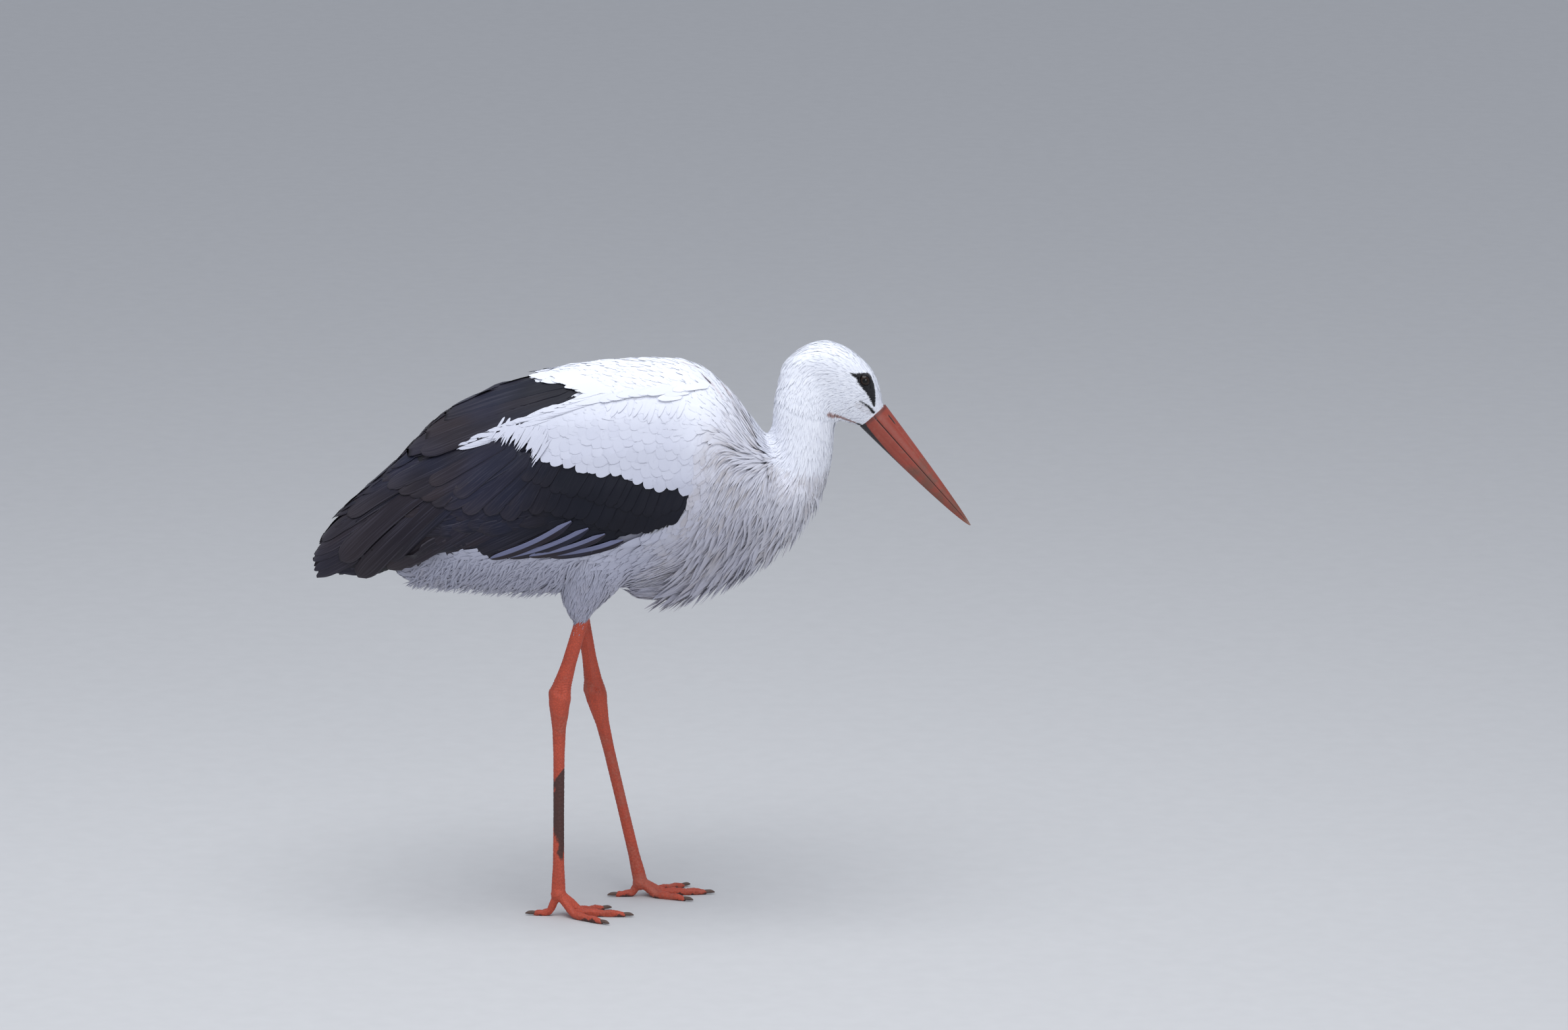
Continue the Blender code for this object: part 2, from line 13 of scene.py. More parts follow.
import bmesh
import bpy
import numpy as np
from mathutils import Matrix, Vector
from mathutils.bvhtree import BVHTree
from mathutils.geometry import barycentric_transform
from mathutils.kdtree import KDTree


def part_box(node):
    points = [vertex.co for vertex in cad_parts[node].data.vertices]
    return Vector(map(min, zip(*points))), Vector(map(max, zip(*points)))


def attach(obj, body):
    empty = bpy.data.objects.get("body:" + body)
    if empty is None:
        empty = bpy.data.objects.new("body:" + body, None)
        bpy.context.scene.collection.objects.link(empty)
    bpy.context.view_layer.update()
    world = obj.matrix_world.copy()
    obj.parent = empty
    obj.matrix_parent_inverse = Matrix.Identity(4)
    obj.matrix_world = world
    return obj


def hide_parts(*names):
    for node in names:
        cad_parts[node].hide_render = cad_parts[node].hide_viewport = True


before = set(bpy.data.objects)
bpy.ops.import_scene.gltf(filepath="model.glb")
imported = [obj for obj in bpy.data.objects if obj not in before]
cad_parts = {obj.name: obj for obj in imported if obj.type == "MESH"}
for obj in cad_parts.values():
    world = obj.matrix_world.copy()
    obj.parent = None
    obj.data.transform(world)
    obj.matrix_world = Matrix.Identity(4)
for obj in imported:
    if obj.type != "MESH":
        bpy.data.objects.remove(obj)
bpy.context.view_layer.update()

MM = 0.001

# %% [markdown]
# ## Camera
#
# A bird is watched from far off, through a long lens, which keeps its proportions: a short lens close
# by would swell the near wing and leg. The camera could be turned by hand until the view is right.
# Here it is placed by a few values, an aim, a slope and a distance, so that it can be repeated.

# %% Camera
AIM = Vector((0.152, 0, 0.4286))
LOOK_DOWN = math.radians(12)
FAR = 9.26
camera = bpy.data.objects.new("camera", bpy.data.cameras.new("camera"))
camera.data.lens = 200
camera.data.sensor_width = 36
camera.data.clip_end = 60
camera.location = AIM + Vector((0, -math.cos(LOOK_DOWN), math.sin(LOOK_DOWN))) * FAR
camera.rotation_euler = (math.pi / 2 - LOOK_DOWN, 0, 0)
bpy.context.scene.collection.objects.link(camera)
bpy.context.scene.camera = camera
print("camera", round(camera.location.z, 2), "m above the floor,", FAR, "m away")

# %% [markdown]
# ## Shader maths as Python
#
# A material is a graph of small nodes. Writing `light * (1 - mask)` is easier to read than placing
# nodes by hand, so `Wire` stands for a socket and turns Python's operators into Math nodes. The
# swapped forms let a plain number stand first, as in `1 - mask`.


# %% A wire
class Wire:
    """A shader socket that Python's arithmetic works on."""

    def __init__(self, finish, socket):
        self.finish = finish
        self.socket = socket

    def maths(operation, swapped=False):
        """An operator that adds one Math node, with its two sides swapped if asked."""

        def act(self, other):
            pair = (other, self) if swapped else (self, other)
            return self.finish.node("Math", {"operation": operation}, dict(enumerate(pair)))

        return act

    __add__, __radd__ = maths("ADD"), maths("ADD", True)
    __sub__, __rsub__ = maths("SUBTRACT"), maths("SUBTRACT", True)
    __mul__, __rmul__ = maths("MULTIPLY"), maths("MULTIPLY", True)


print("operators with a swapped form:", [name for name in vars(Wire) if name.startswith("__r")])

# %% [markdown]
# ## A finish
#
# A `Finish` holds one material and its shader, and adds any kind of node with one method. Numbers that
# are the same all over the surface are set on the shader when it is made. What varies is linked last.


# %% A finish
class Finish:
    """A Principled material, built up node by node."""

    def __init__(self, name, fixed):
        self.material = bpy.data.materials.new(name)
        self.material.use_nodes = True
        self.tree = self.material.node_tree
        self.shader = self.tree.nodes["Principled BSDF"]
        for socket, value in fixed.items():
            self.shader.inputs[socket].default_value = value

    def node(self, kind, settings=None, sockets=None, output=0):
        """Adds a node: first its settings, then its sockets' values or links. Gives one output."""
        node = self.tree.nodes.new("ShaderNode" + kind)
        for setting, value in (settings or {}).items():
            setattr(node, setting, value)
        for name, value in (sockets or {}).items():
            self.feed(node.inputs[name], value)
        return Wire(self, node.outputs[output])

    def feed(self, socket, value):
        """Links a wire to the socket, or sets its value."""
        if isinstance(value, Wire):
            self.tree.links.new(value.socket, socket)
        elif socket.type == "RGBA":
            socket.default_value = (*value, 1)
        else:
            socket.default_value = value

    def attribute(self, name):
        """A value stored at the mesh's points."""
        return self.node("Attribute", {"attribute_name": name}, output="Fac")

    def place(self):
        """Where the point is, in metres."""
        return self.node("TexCoord", output="Object")

    def noise(self, vector, scale, detail=2, stretch=(1, 1, 1)):
        """Cloudy values around one half, as fine as the scale, longer where the stretch is small."""
        if stretch != (1, 1, 1):
            vector = self.node("VectorMath", {"operation": "MULTIPLY"}, {0: vector, 1: stretch})
        return self.node("TexNoise", {}, {"Vector": vector, "Scale": scale, "Detail": detail})

    def band(self, value, low, high):
        """0 below low, 1 over high, and a soft step between."""
        settings = {"interpolation_type": "SMOOTHSTEP"}
        return self.node("MapRange", settings, {"Value": value, "From Min": low, "From Max": high})

    def mix(self, share, first, second):
        """The first colour where share is 0 and the second where it is 1."""
        return self.node("Mix", {"data_type": "RGBA"}, {"Factor": share, 6: first, 7: second}, 2)

    def bump(self, height, strength, distance):
        """Slopes that light sees, without moving the surface."""
        return self.node("Bump", {}, {"Height": height, "Strength": strength, "Distance": distance})

    def done(self, **feeds):
        """Links what varies into the shader and gives the material."""
        for name, value in feeds.items():
            self.feed(self.shader.inputs[name.replace("_", " ")], value)
        return self.material


print("a finish can:", [name for name in vars(Finish) if not name.startswith("_")])

# %% [markdown]
# ## Meshes and arrays
#
# Thousands of feathers are too many to add one by one. Blender's `foreach_set` and `foreach_get` move
# whole arrays between numpy and a mesh in one step, so a tract of feathers is worked out as one array
# and handed over at once. These helpers do the moving.


# %% Mesh helpers
def mesh_of(name, points, *face_sets):
    """A mesh from an array of points and arrays of faces, one row a face."""
    corners = np.concatenate([faces.ravel() for faces in face_sets])
    sizes = np.concatenate([np.full(len(faces), faces.shape[1]) for faces in face_sets])
    mesh = bpy.data.meshes.new(name)
    mesh.vertices.add(len(points))
    mesh.vertices.foreach_set("co", points.astype(np.float32).ravel())
    mesh.loops.add(len(corners))
    mesh.loops.foreach_set("vertex_index", corners.astype(np.int32))
    mesh.polygons.add(len(sizes))
    mesh.polygons.foreach_set("loop_start", np.cumsum(sizes) - sizes)
    mesh.polygons.foreach_set("use_smooth", np.ones(len(sizes), bool))
    mesh.update(calc_edges=True)
    return mesh


def points_of(mesh):
    """The mesh's points, one row each."""
    flat = np.empty(len(mesh.vertices) * 3, np.float32)
    mesh.vertices.foreach_get("co", flat)
    return flat.reshape(-1, 3).astype(float)


def normals_of(mesh):
    """The smooth normal at each point."""
    flat = np.empty(len(mesh.vertices) * 3, np.float32)
    mesh.vertex_normals.foreach_get("vector", flat)
    return flat.reshape(-1, 3).astype(float)


def unit(vectors):
    """The vectors, each one long."""
    return vectors / np.maximum(np.linalg.norm(vectors, axis=-1, keepdims=True), 1e-9)


print("one long:", unit(np.array((3.0, 4.0, 0.0))))

# %% [markdown]
# ## Floor and lights
#
# A museum model is shown on a plain floor in even light. Small lamps would give hard shadows, which
# hide the soft form of the plumage. One wide lamp overhead is like the sky of a dull day, a weaker one
# in front lifts the side that the camera sees, and the world fills in the rest with a cool grey.
# White feathers need a floor a little darker than they are.


# %% Floor and lights
REACH = 20
BODY_MIDDLE = Vector((0, 0, 0.4))


def make_floor():
    """One flat sheet, so wide that its edge is never near."""
    corners = REACH * np.array([(-1, -1, 0), (1, -1, 0), (1, 1, 0), (-1, 1, 0)])
    mesh = mesh_of("studio_floor", corners, np.array([(0, 1, 2, 3)]))
    return bpy.data.objects.new("studio_floor", mesh)


def soft_light(name, place, size, power, colour):
    """A round lamp that looks at the middle of the body."""
    light = bpy.data.lights.new(name, "AREA")
    light.shape = "DISK"
    light.size = size
    light.energy = power
    light.color = colour
    lamp = bpy.data.objects.new(name, light)
    lamp.location = place
    lamp.rotation_euler = (BODY_MIDDLE - Vector(place)).to_track_quat("-Z", "Y").to_euler()
    bpy.context.scene.collection.objects.link(lamp)


floor = make_floor()
bpy.context.scene.collection.objects.link(floor)
paper = Finish("studio_paper", {"Roughness": 0.9, "Specular IOR Level": 0.2})
grain = paper.noise(paper.place(), 40)
floor.data.materials.append(
    paper.done(Base_Color=paper.mix(grain, (0.56, 0.56, 0.56), (0.60, 0.60, 0.60)))
)
soft_light("sky_light", (-0.25, -0.7, 3.0), 2.8, 62, (0.95, 0.97, 1.0))
soft_light("front_light", (1.2, -3.0, 1.2), 1.8, 24, (0.97, 0.97, 1.0))
world = bpy.data.worlds.new("studio")
bpy.context.scene.world = world
world.use_nodes = True
background = world.node_tree.nodes["Background"].inputs
background["Color"].default_value = (0.84, 0.89, 1.0, 1)
background["Strength"].default_value = 0.60
bpy.context.scene.view_settings.view_transform = "Standard"
print("floor", 2 * REACH, "m wide, two soft lamps")

# %% [markdown]
# ## The outside of the plumage
#
# The solids of head, neck, body, tail, thighs and wings together are the outline that the feather
# tips reach. Melted into one closed surface, they make the `coat` that everything else is measured
# from: feathers lie along it, and the skin lies a feather's depth inside it.


# %% Melting solids together
def evaluated(mesh, *modifiers):
    """The mesh after modifiers, each given as its type and settings."""
    obj = bpy.data.objects.new("work", mesh)
    bpy.context.scene.collection.objects.link(obj)
    for kind, settings in modifiers:
        modifier = obj.modifiers.new(kind.lower(), kind)
        for setting, value in settings.items():
            setattr(modifier, setting, value)
    graph = bpy.context.evaluated_depsgraph_get()
    result = bpy.data.meshes.new_from_object(obj.evaluated_get(graph))
    bpy.data.objects.remove(obj)
    return result


def melted(nodes, grain, smoothing, grow=0.25 * MM, extra=None):
    """The solids, swollen just enough to close the cuts between them, as one smooth closed mesh."""
    shape = extra or bmesh.new()
    for node in nodes:
        shape.from_mesh(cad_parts[node].data)
    bmesh.ops.remove_doubles(shape, verts=shape.verts, dist=1e-6)
    bmesh.ops.recalc_face_normals(shape, faces=shape.faces)
    shape.normal_update()
    moves = [vert.normal * grow for vert in shape.verts]
    for vert, move in zip(shape.verts, moves):
        vert.co += move
    mesh = bpy.data.meshes.new("melted")
    shape.to_mesh(mesh)
    shape.free()
    return evaluated(
        mesh,
        ("REMESH", {"mode": "VOXEL", "voxel_size": grain}),
        ("SMOOTH", {"factor": 0.5, "iterations": smoothing}),
    )


# %% [markdown]
# ## The coat's surface
#
# Every later step asks the same two questions of the coat: where is its nearest point, and which way
# does it face there? A search tree over its faces answers both in an instant, so the mesh and its tree
# are kept together as a `Surface`.


# %% The coat's surface
SIDES = {"right": -1, "left": 1}
WING_PARTS = ("coverts", "secondaries", "primaries")
WINGS = [f"wing_{side}_{part}" for side in SIDES for part in WING_PARTS]
THIGHS = [f"thigh_{side}" for side in SIDES]
BODY = ["head", "neck_upper", "neck_lower", "breast", "trunk", "rump", "tail"]
FLESH = BODY + THIGHS + WINGS
FACE_PARTS = ["bill_upper", "bill_lower", "eye_right", "eye_left"]
SHANKS = [f"shank_{side}" for side in SIDES]
SOLIDS = FLESH + FACE_PARTS + SHANKS


class Surface:
    """A closed mesh that can be asked for the nearest place on it and its normal there."""

    def __init__(self, mesh):
        self.mesh = mesh
        self.points = points_of(mesh)
        self.normals = normals_of(mesh)
        self.faces = [tuple(face.vertices) for face in mesh.polygons]
        self.tree = BVHTree.FromPolygons(self.points.tolist(), self.faces)
        self.face_normals = unit(np.array([self.normals[list(face)].mean(0) for face in self.faces]))

    def nearest(self, places):
        """For each place: the nearest point of the surface and the smooth normal there."""
        hits = [self.tree.find_nearest(place) for place in places.reshape(-1, 3).tolist()]
        feet = np.array([hit[0] for hit in hits]).reshape(places.shape)
        faces = np.array([hit[2] for hit in hits])
        return feet, self.face_normals[faces].reshape(places.shape)

    def seen(self, starts, way):
        """Where rays from the starts along one way first meet the surface, or its nearest point."""
        found = []
        for start in starts.reshape(-1, 3).tolist():
            found.append(self.tree.ray_cast(start, way)[0] or self.tree.find_nearest(start)[0])
        return np.array(found).reshape(starts.shape)


coat = Surface(melted(SOLIDS, 3.4 * MM, 3))
print("coat surface:", len(coat.faces), "faces")


# %% [markdown]
# ## Which part of the bird is where
#
# The solids are named for parts of the bird, so the solid nearest to a place says whether it lies on
# the head, a thigh or a wing. Where the wing's black parts are nearest, the coat is black. The edge of
# the black would follow the solids' cuts exactly, so it is softened by averaging over neighbours.


# %% Which solid is nearest
def label_tree(nodes):
    """A search tree over the solids, and the number of each face's solid."""
    points, faces, owners = [], [], []
    for number, node in enumerate(nodes):
        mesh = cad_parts[node].data
        first = len(points)
        points += points_of(mesh).tolist()
        faces += [[first + i for i in face.vertices] for face in mesh.polygons]
        owners += [number] * len(mesh.polygons)
    return BVHTree.FromPolygons(points, faces), np.array(owners)


solid_tree, solid_owner = label_tree(SOLIDS)


def solid_at(places):
    """The number in SOLIDS of the solid nearest to each place."""
    return solid_owner[[solid_tree.find_nearest(place)[2] for place in places.tolist()]]


def among(owners, *names):
    """True where the owner is one of the named solids."""
    return np.isin(owners, [SOLIDS.index(name) for name in names])


coat_owner = solid_at(coat.points)


def spread_over(mesh, values, rounds):
    """Values at points, averaged with their neighbours' again and again."""
    edges = np.empty(len(mesh.edges) * 2, np.int32)
    mesh.edges.foreach_get("vertices", edges)
    a, b = edges.reshape(-1, 2).T
    count = np.bincount(edges, minlength=len(values))
    for _ in range(rounds):
        total = np.bincount(a, values[b], len(values)) + np.bincount(b, values[a], len(values))
        values = 0.5 * values + 0.5 * total / count
    return values


BLACK_NODES = [name for name in WINGS if "coverts" not in name]
white_ridge = (coat.points[:, 0] > -116 * MM) & (coat.points[:, 2] > 574 * MM)
blackness = spread_over(coat.mesh, among(coat_owner, *BLACK_NODES) * ~white_ridge * 1.0, 8)


def in_black(points, margin=0.5):
    """Whether each place lies over the wing's black feathers, or close to them with a low margin."""
    hits = [coat.tree.find_nearest(place)[2] for place in points.tolist()]
    return np.array([blackness[list(coat.faces[hit])].mean() for hit in hits]) > margin


print("under black feathers:", round(100 * (blackness > 0.5).mean()), "% of the coat")

# %% [markdown]
# ## Where things are on the head
#
# The bill points down at a slant, so places on the head are easier to give along the bill's axis:
# how far *behind* the bill's base, and how far *up* from the axis. The eyes are where their solids
# are. A stork's eye sits in a patch of bare black skin that narrows towards the bill, and a dark line
# runs back from the corner of the mouth.

# %% Head measures and markings
SLOPE = math.radians(49)
ALONG = np.array((math.cos(SLOPE), 0, -math.sin(SLOPE)))
ABOVE = np.array((math.sin(SLOPE), 0, math.cos(SLOPE)))
BILL_BASE = np.array((246.1, 0, 537.5)) * MM
EYES = {side: np.array(sum(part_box(f"eye_{side}"), Vector()) / 2) for side in SIDES}
EYE_RADIUS = (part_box("eye_left")[1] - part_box("eye_left")[0]).z / 2


def head_place(points):
    """How far behind the bill's base, and how far up from its axis, in millimetres."""
    away = (points - BILL_BASE) / MM
    return -away @ ALONG, away @ ABOVE


def head_point(behind, side, up):
    """The place at those distances behind, to the left and up, in millimetres."""
    return BILL_BASE + (-ALONG * behind + ABOVE * up + np.array((0, side, 0))) * MM


print("eye radius:", round(EYE_RADIUS / MM, 2), "mm; right eye at", EYES["right"].round(4))

# %% [markdown]
# ## Markings
#
# Skin and feathers are painted by the same rules, so that a mark runs on from one to the other. A
# stork's marks could be a painted image. Here each is a stroke like a brush's, given by the places it
# passes and its half width there, which a learner can read and move.


# %% Markings
def stroke(place, rows):
    """1 inside a painted stroke, given by rows of two measures and a half width, else 0."""
    inside = np.zeros(len(place), bool)
    for (*start, wide), (*end, narrow) in zip(rows, rows[1:]):
        start, line = np.array(start), np.array(end) - np.array(start)
        share = np.clip((place - start) @ line / (line @ line), 0, 1)
        gap = np.linalg.norm(place - start - share[:, None] * line, axis=-1)
        inside |= gap < wide + (narrow - wide) * share
    return inside.astype(float)


EYE_PATCH = (
    (53, 13.5, 0.4), (44, 18, 3.4), (36, 20, 7.6), (28, 18.5, 6.0), (18, 14.5, 3.6), (8, 9, 1.2),
)
GAPE_LINE = ((3, 3.5, 1.6), (12, 4, 1.3), (23, 1.7, 0.5))
# Painted black along the chin's lower edge: partly dark skin, partly painted shade under the bill.
CHIN_EDGE_SKIN_AND_SHADE = ((-4, -15.5, 2.0), (5, -18.4, 0.9))
CHIN_SKIN = ((5, -18.4, 0.9), (19, -24.9, 1.3), (33, -33, 2.2))
GAPE_SHADE = ((6, 0, 3.0), (20, -2, 4.5))
SLANT = 0.2126
MANTLE_STREAKS = (
    ((42, 594.5, 0.7), (64, 587, 0.5)),
    ((66, 580, 0.6), (78, 568, 1.0), (87, 555, 0.6)),
    ((84, 572, 0.6), (94, 560.5, 1.2), (100, 548, 1.2), (102, 533, 0.7)),
)


def painted_shade_amount(points):
    """How much painted shade greys the white plumage: none on the head and back, most on breast and
    belly.
    """
    x, z = points[..., 0] / MM, points[..., 2] / MM
    side = np.interp(z, (370, 400, 450, 500, 535, 570, 600), (1.0, 0.9, 0.75, 0.64, 0.56, 0.2, 0.06))
    fore = np.interp(z, (370, 400, 450, 520, 560), (1.0, 1.0, 0.9, 0.45, 0.1))
    blend = side + (fore - side) * np.clip((x - 30) / 40, 0, 1)
    return np.clip(blend - 0.55 * np.clip((x - 120) / 60, 0, 1), 0, 1)


def markings(points, owners):
    """What paints skin and feathers alike, from 0 to 1: black, partly painted shade at the chin's edge;
    buff stain, with painted shade behind the mouth; pink bare skin; and painted grey shade.
    """
    on_head = among(owners, "head", *FACE_PARTS)
    face = np.stack(head_place(points), -1)
    ink = in_black(points).astype(float)
    for rows in (EYE_PATCH, GAPE_LINE, CHIN_EDGE_SKIN_AND_SHADE):
        ink = np.maximum(ink, stroke(face, rows) * on_head)
    x, z = points[:, 0] / MM, points[:, 2] / MM
    ruff = among(owners, "breast", "neck_lower", "trunk")
    front = np.clip((x - 10 - 0.9 * np.clip(z - 490, 0, None)) / 50, 0, 1)
    under = np.clip((430 - z) / 60, 0, 1) * (x < 30)
    stain = np.maximum(ruff * front, 0.3 * under)
    # Painted shade behind the corner of the mouth, kept in the same values as the stains.
    stain = np.maximum(stain, 0.75 * stroke(face, GAPE_SHADE) * on_head)
    seen = np.stack([x, z - SLANT * np.abs(points[:, 1]) / MM], -1)
    blush = stroke(face, CHIN_SKIN) * on_head
    for rows in MANTLE_STREAKS:
        blush = np.maximum(blush, 0.45 * stroke(seen, rows) * ~on_head)
    pale = {"stain": stain, "blush": blush, "frost": painted_shade_amount(points)}
    return {"ink": ink} | {name: value * (1 - ink) for name, value in pale.items()}


def put_attribute(mesh, name, values):
    """Stores one value a point, for the material to read."""
    mesh.attributes.new(name, "FLOAT", "POINT").data.foreach_set("value", values.astype(np.float32))


for part, height in (("belly", 0.37), ("back", 0.60)):
    print("grey on the", part, painted_shade_amount(np.array((0, 0, height))).round(2))

# %% [markdown]
# ## One skin
#
# Under a bird's plumage is one skin, from the face to the toes. It could be modelled by hand, but the
# coat's surface already has the right form: here it is moved inwards by the plumage's depth, which is
# a millimetre or two on the face and most of a centimetre on the breast. Where a part is thin, such
# as the folded wing's tip, the skin stops well before the middle.


# %% Depth of the plumage
DEPTHS = {"head": 2, "neck_upper": 4, "neck_lower": 6, "breast": 8, "trunk": 7, "rump": 6, "tail": 1.6}
DEPTHS |= {f"wing_{side}_coverts": 4.5 for side in SIDES}
DEPTHS |= {f"wing_{side}_secondaries": 4 for side in SIDES}
DEPTHS |= {f"wing_{side}_primaries": 2.2 for side in SIDES}
DEPTHS |= {f"thigh_{side}": 4 for side in SIDES} | {name: 1 for name in FACE_PARTS}
DEPTHS |= {name: 2.5 for name in SHANKS}


def coat_depth():
    """How far the skin lies inside the coat at each of its points, less where the body is thin."""
    depth = np.array([DEPTHS[name] for name in SOLIDS])[coat_owner] * MM
    behind, _ = head_place(coat.points)
    face = among(coat_owner, "head", *FACE_PARTS)
    depth = np.where(face, np.clip(behind / 30, 0.2, 1) * 2 * MM, depth)
    depth = spread_over(coat.mesh, depth, 12)
    inward = zip((coat.points - coat.normals * MM).tolist(), (-coat.normals).tolist())
    through = [coat.tree.ray_cast(start, way)[3] or 1 for start, way in inward]
    return np.minimum(depth, 0.36 * np.array(through))


depth_at_point = coat_depth()
shallow, deep = depth_at_point.min() / MM, depth_at_point.max() / MM
print("plumage depth:", shallow.round(2), "to", deep.round(2), "mm")

# %% [markdown]
# ## The body's skin
#
# Moving every point of the coat inwards gives the skin. Three places need more care. In the bill it
# is cut off and closed, because horn takes its place there. Around the eyes it is divided more finely,
# as small forms sit close together. In each eye's opening it dips behind the eyeball, so that the ball
# is what shows.


# %% Skin of the body, finer on the face
def skin_of_body():
    """The coat moved inwards. It is closed off inside the bill, and finer around the eyes."""
    mesh = coat.mesh.copy()
    moved = within_wing_tips(coat.points - coat.normals * depth_at_point[:, None])
    mesh.vertices.foreach_set("co", moved.astype(np.float32).ravel())
    shape = bmesh.new()
    shape.from_mesh(mesh)
    behind, _ = head_place(moved)
    in_bill = among(coat_owner, "bill_upper", "bill_lower") & (behind < -7)
    shape.verts.ensure_lookup_table()
    bmesh.ops.delete(shape, geom=[shape.verts[i] for i in np.flatnonzero(in_bill)], context="VERTS")
    bmesh.ops.holes_fill(shape, edges=[edge for edge in shape.edges if edge.is_boundary], sides=0)
    cheeks = Vector(head_point(18, 0, 5))
    near = {vert for vert in shape.verts if (vert.co - cheeks).length < 42 * MM}
    edges = [edge for edge in shape.edges if edge.verts[0] in near and edge.verts[1] in near]
    bmesh.ops.subdivide_edges(shape, edges=edges, cuts=2, use_grid_fill=True, smooth=0.6)
    for vert in shape.verts:
        vert.co = under_eyeball(vert.co)
    shape.to_mesh(mesh)
    shape.free()
    return mesh


def within_wing_tips(points):
    """The wing's flesh ends well before its feathers do, so the skin is drawn in there."""
    beyond = np.clip(-(points[:, 0] / MM + 235), 0, None)
    middle = (408 - 0.35 * beyond) * MM
    drawn = points.copy()
    drawn[:, 0] += 0.24 * beyond * MM
    drawn[:, 2] = middle + (points[:, 2] - middle) * (1 - 0.004 * beyond)
    return np.where(beyond[:, None] > 0, drawn, points)


def under_eyeball(place):
    """Skin that would show in the eye's opening goes behind the eyeball."""
    for eye in EYES.values():
        out = Vector(place) - Vector(eye)
        side = math.copysign(1, eye[1])
        around = math.hypot(out.x, out.z)
        if out.y * side > 0 and around < EYE_RADIUS:
            ball = math.sqrt(EYE_RADIUS**2 - around**2)
            dip = min(1, (EYE_RADIUS - around) / MM)
            level = out.y * side
            level += (min(level, ball - MM) - level) * dip
            place = Vector((place[0], eye[1] + side * level, place[2]))
    return place


body_skin = skin_of_body()
print("body's skin:", len(body_skin.polygons), "faces")

# %% [markdown]
# ## Webs between the toes
#
# A stork's front toes are joined at their roots by short webs, which keep the foot from sinking into
# mud. Each web is a thin wedge between two toes. It is melted into the leg with the solids, so no
# seam shows.

# %% Webs
UP = Vector((0, 0, 1))
WEB_REACH = 26 * MM
WEB_EDGE = 3.2 * MM
WEB_ROOT = 6 * MM
WEB_HALF_THICKNESS = 1.1 * MM
print("webs reach", WEB_REACH, "m from the ball of the foot")


def web_between(shape, ball, first, second):
    """A thin wedge of skin between two toes, from the ball of the foot outwards."""
    under = Vector((ball.x, ball.y, 0))
    corners = []
    for claw in (first, second):
        corners.append(under + (claw - under).normalized() * WEB_REACH + UP * WEB_EDGE)
    corners.append(under + (corners[0] + corners[1] - 2 * under) * 0.22 + UP * WEB_ROOT)
    levels = (-WEB_HALF_THICKNESS, WEB_HALF_THICKNESS)
    rings = [[shape.verts.new(corner + UP * level) for corner in corners] for level in levels]
    shape.faces.new(rings[0][::-1])
    shape.faces.new(rings[1])
    for i in range(3):
        j = (i + 1) % 3
        shape.faces.new((rings[0][i], rings[0][j], rings[1][j], rings[1][i]))


# %% [markdown]
# ## Scales
#
# The bare leg and foot are covered in small rounded scales. They could be painted, but then they
# would vanish from the leg's outline. Here they are real relief: seeds are strewn over the leg, and
# the skin swells between the borders of the cells around them.


# %% Scales
def scaled(mesh, seeds, cell, height):
    """Raises rounded scales on a mesh: highest at each cell's middle, lowest along its border."""
    points, normals = points_of(mesh), normals_of(mesh)
    chosen = points[np.random.default_rng(seeds).permutation(len(points))]
    chosen = spaced(chosen, np.full(len(chosen), cell))
    tree = KDTree(len(chosen))
    for i, place in enumerate(chosen.tolist()):
        tree.insert(place, i)
    tree.balance()
    found = np.array([[hit[2] for hit in tree.find_n(place, 2)] for place in points.tolist()])
    border = np.clip((found[:, 1] - found[:, 0]) / (0.45 * cell), 0, 1)
    moved = points + normals * (np.sqrt(border) - 0.75)[:, None] * height
    mesh.vertices.foreach_set("co", moved.astype(np.float32).ravel())
    return mesh


def spaced(points, gaps):
    """Which points to keep, in order, so that none lies within its gap of one kept before."""
    size = float(gaps.max())
    cells, kept = {}, []
    around = [(i, j, k) for i in (-1, 0, 1) for j in (-1, 0, 1) for k in (-1, 0, 1)]
    for place, gap in zip(points.tolist(), gaps.tolist()):
        a, b, c = (int(value // size) for value in place)
        crowded = False
        for i, j, k in around:
            for x, y, z in cells.get((a + i, b + j, c + k), ()):
                if (x - place[0]) ** 2 + (y - place[1]) ** 2 + (z - place[2]) ** 2 < gap * gap:
                    crowded = True
                    break
            if crowded:
                break
        if not crowded:
            cells.setdefault((a, b, c), []).append(place)
            kept.append(place)
    return np.array(kept)


row_of_five = np.linspace((0, 0, 0), (1, 0, 0), 5)
print("of five places in a row,", len(spaced(row_of_five, np.full(5, 0.4))), "are far enough apart")

# %% [markdown]
# ## Ankles and whole legs
#
# What looks like a bird's knee bent backwards is its ankle. It has two knuckles with a hollow between
# them, and folds of skin above. Each is a smooth swelling, given by its place, size and rise. The
# leg's solids and webs are then melted together, swollen at the ankle, and covered in scales.

# %% Leg skin
KNUCKLES = ((-7, 3, 5.5, 1.8), (6, -3, 6, 1.7), (0, 4, 3.2, -1.6), (5, -20, 7, 0.8), (-4, 16, 6, 0.5))
LEG_NODES = {side: [f"{part}_{side}" for part in ("shank", "tarsus", "foot")] for side in SIDES}


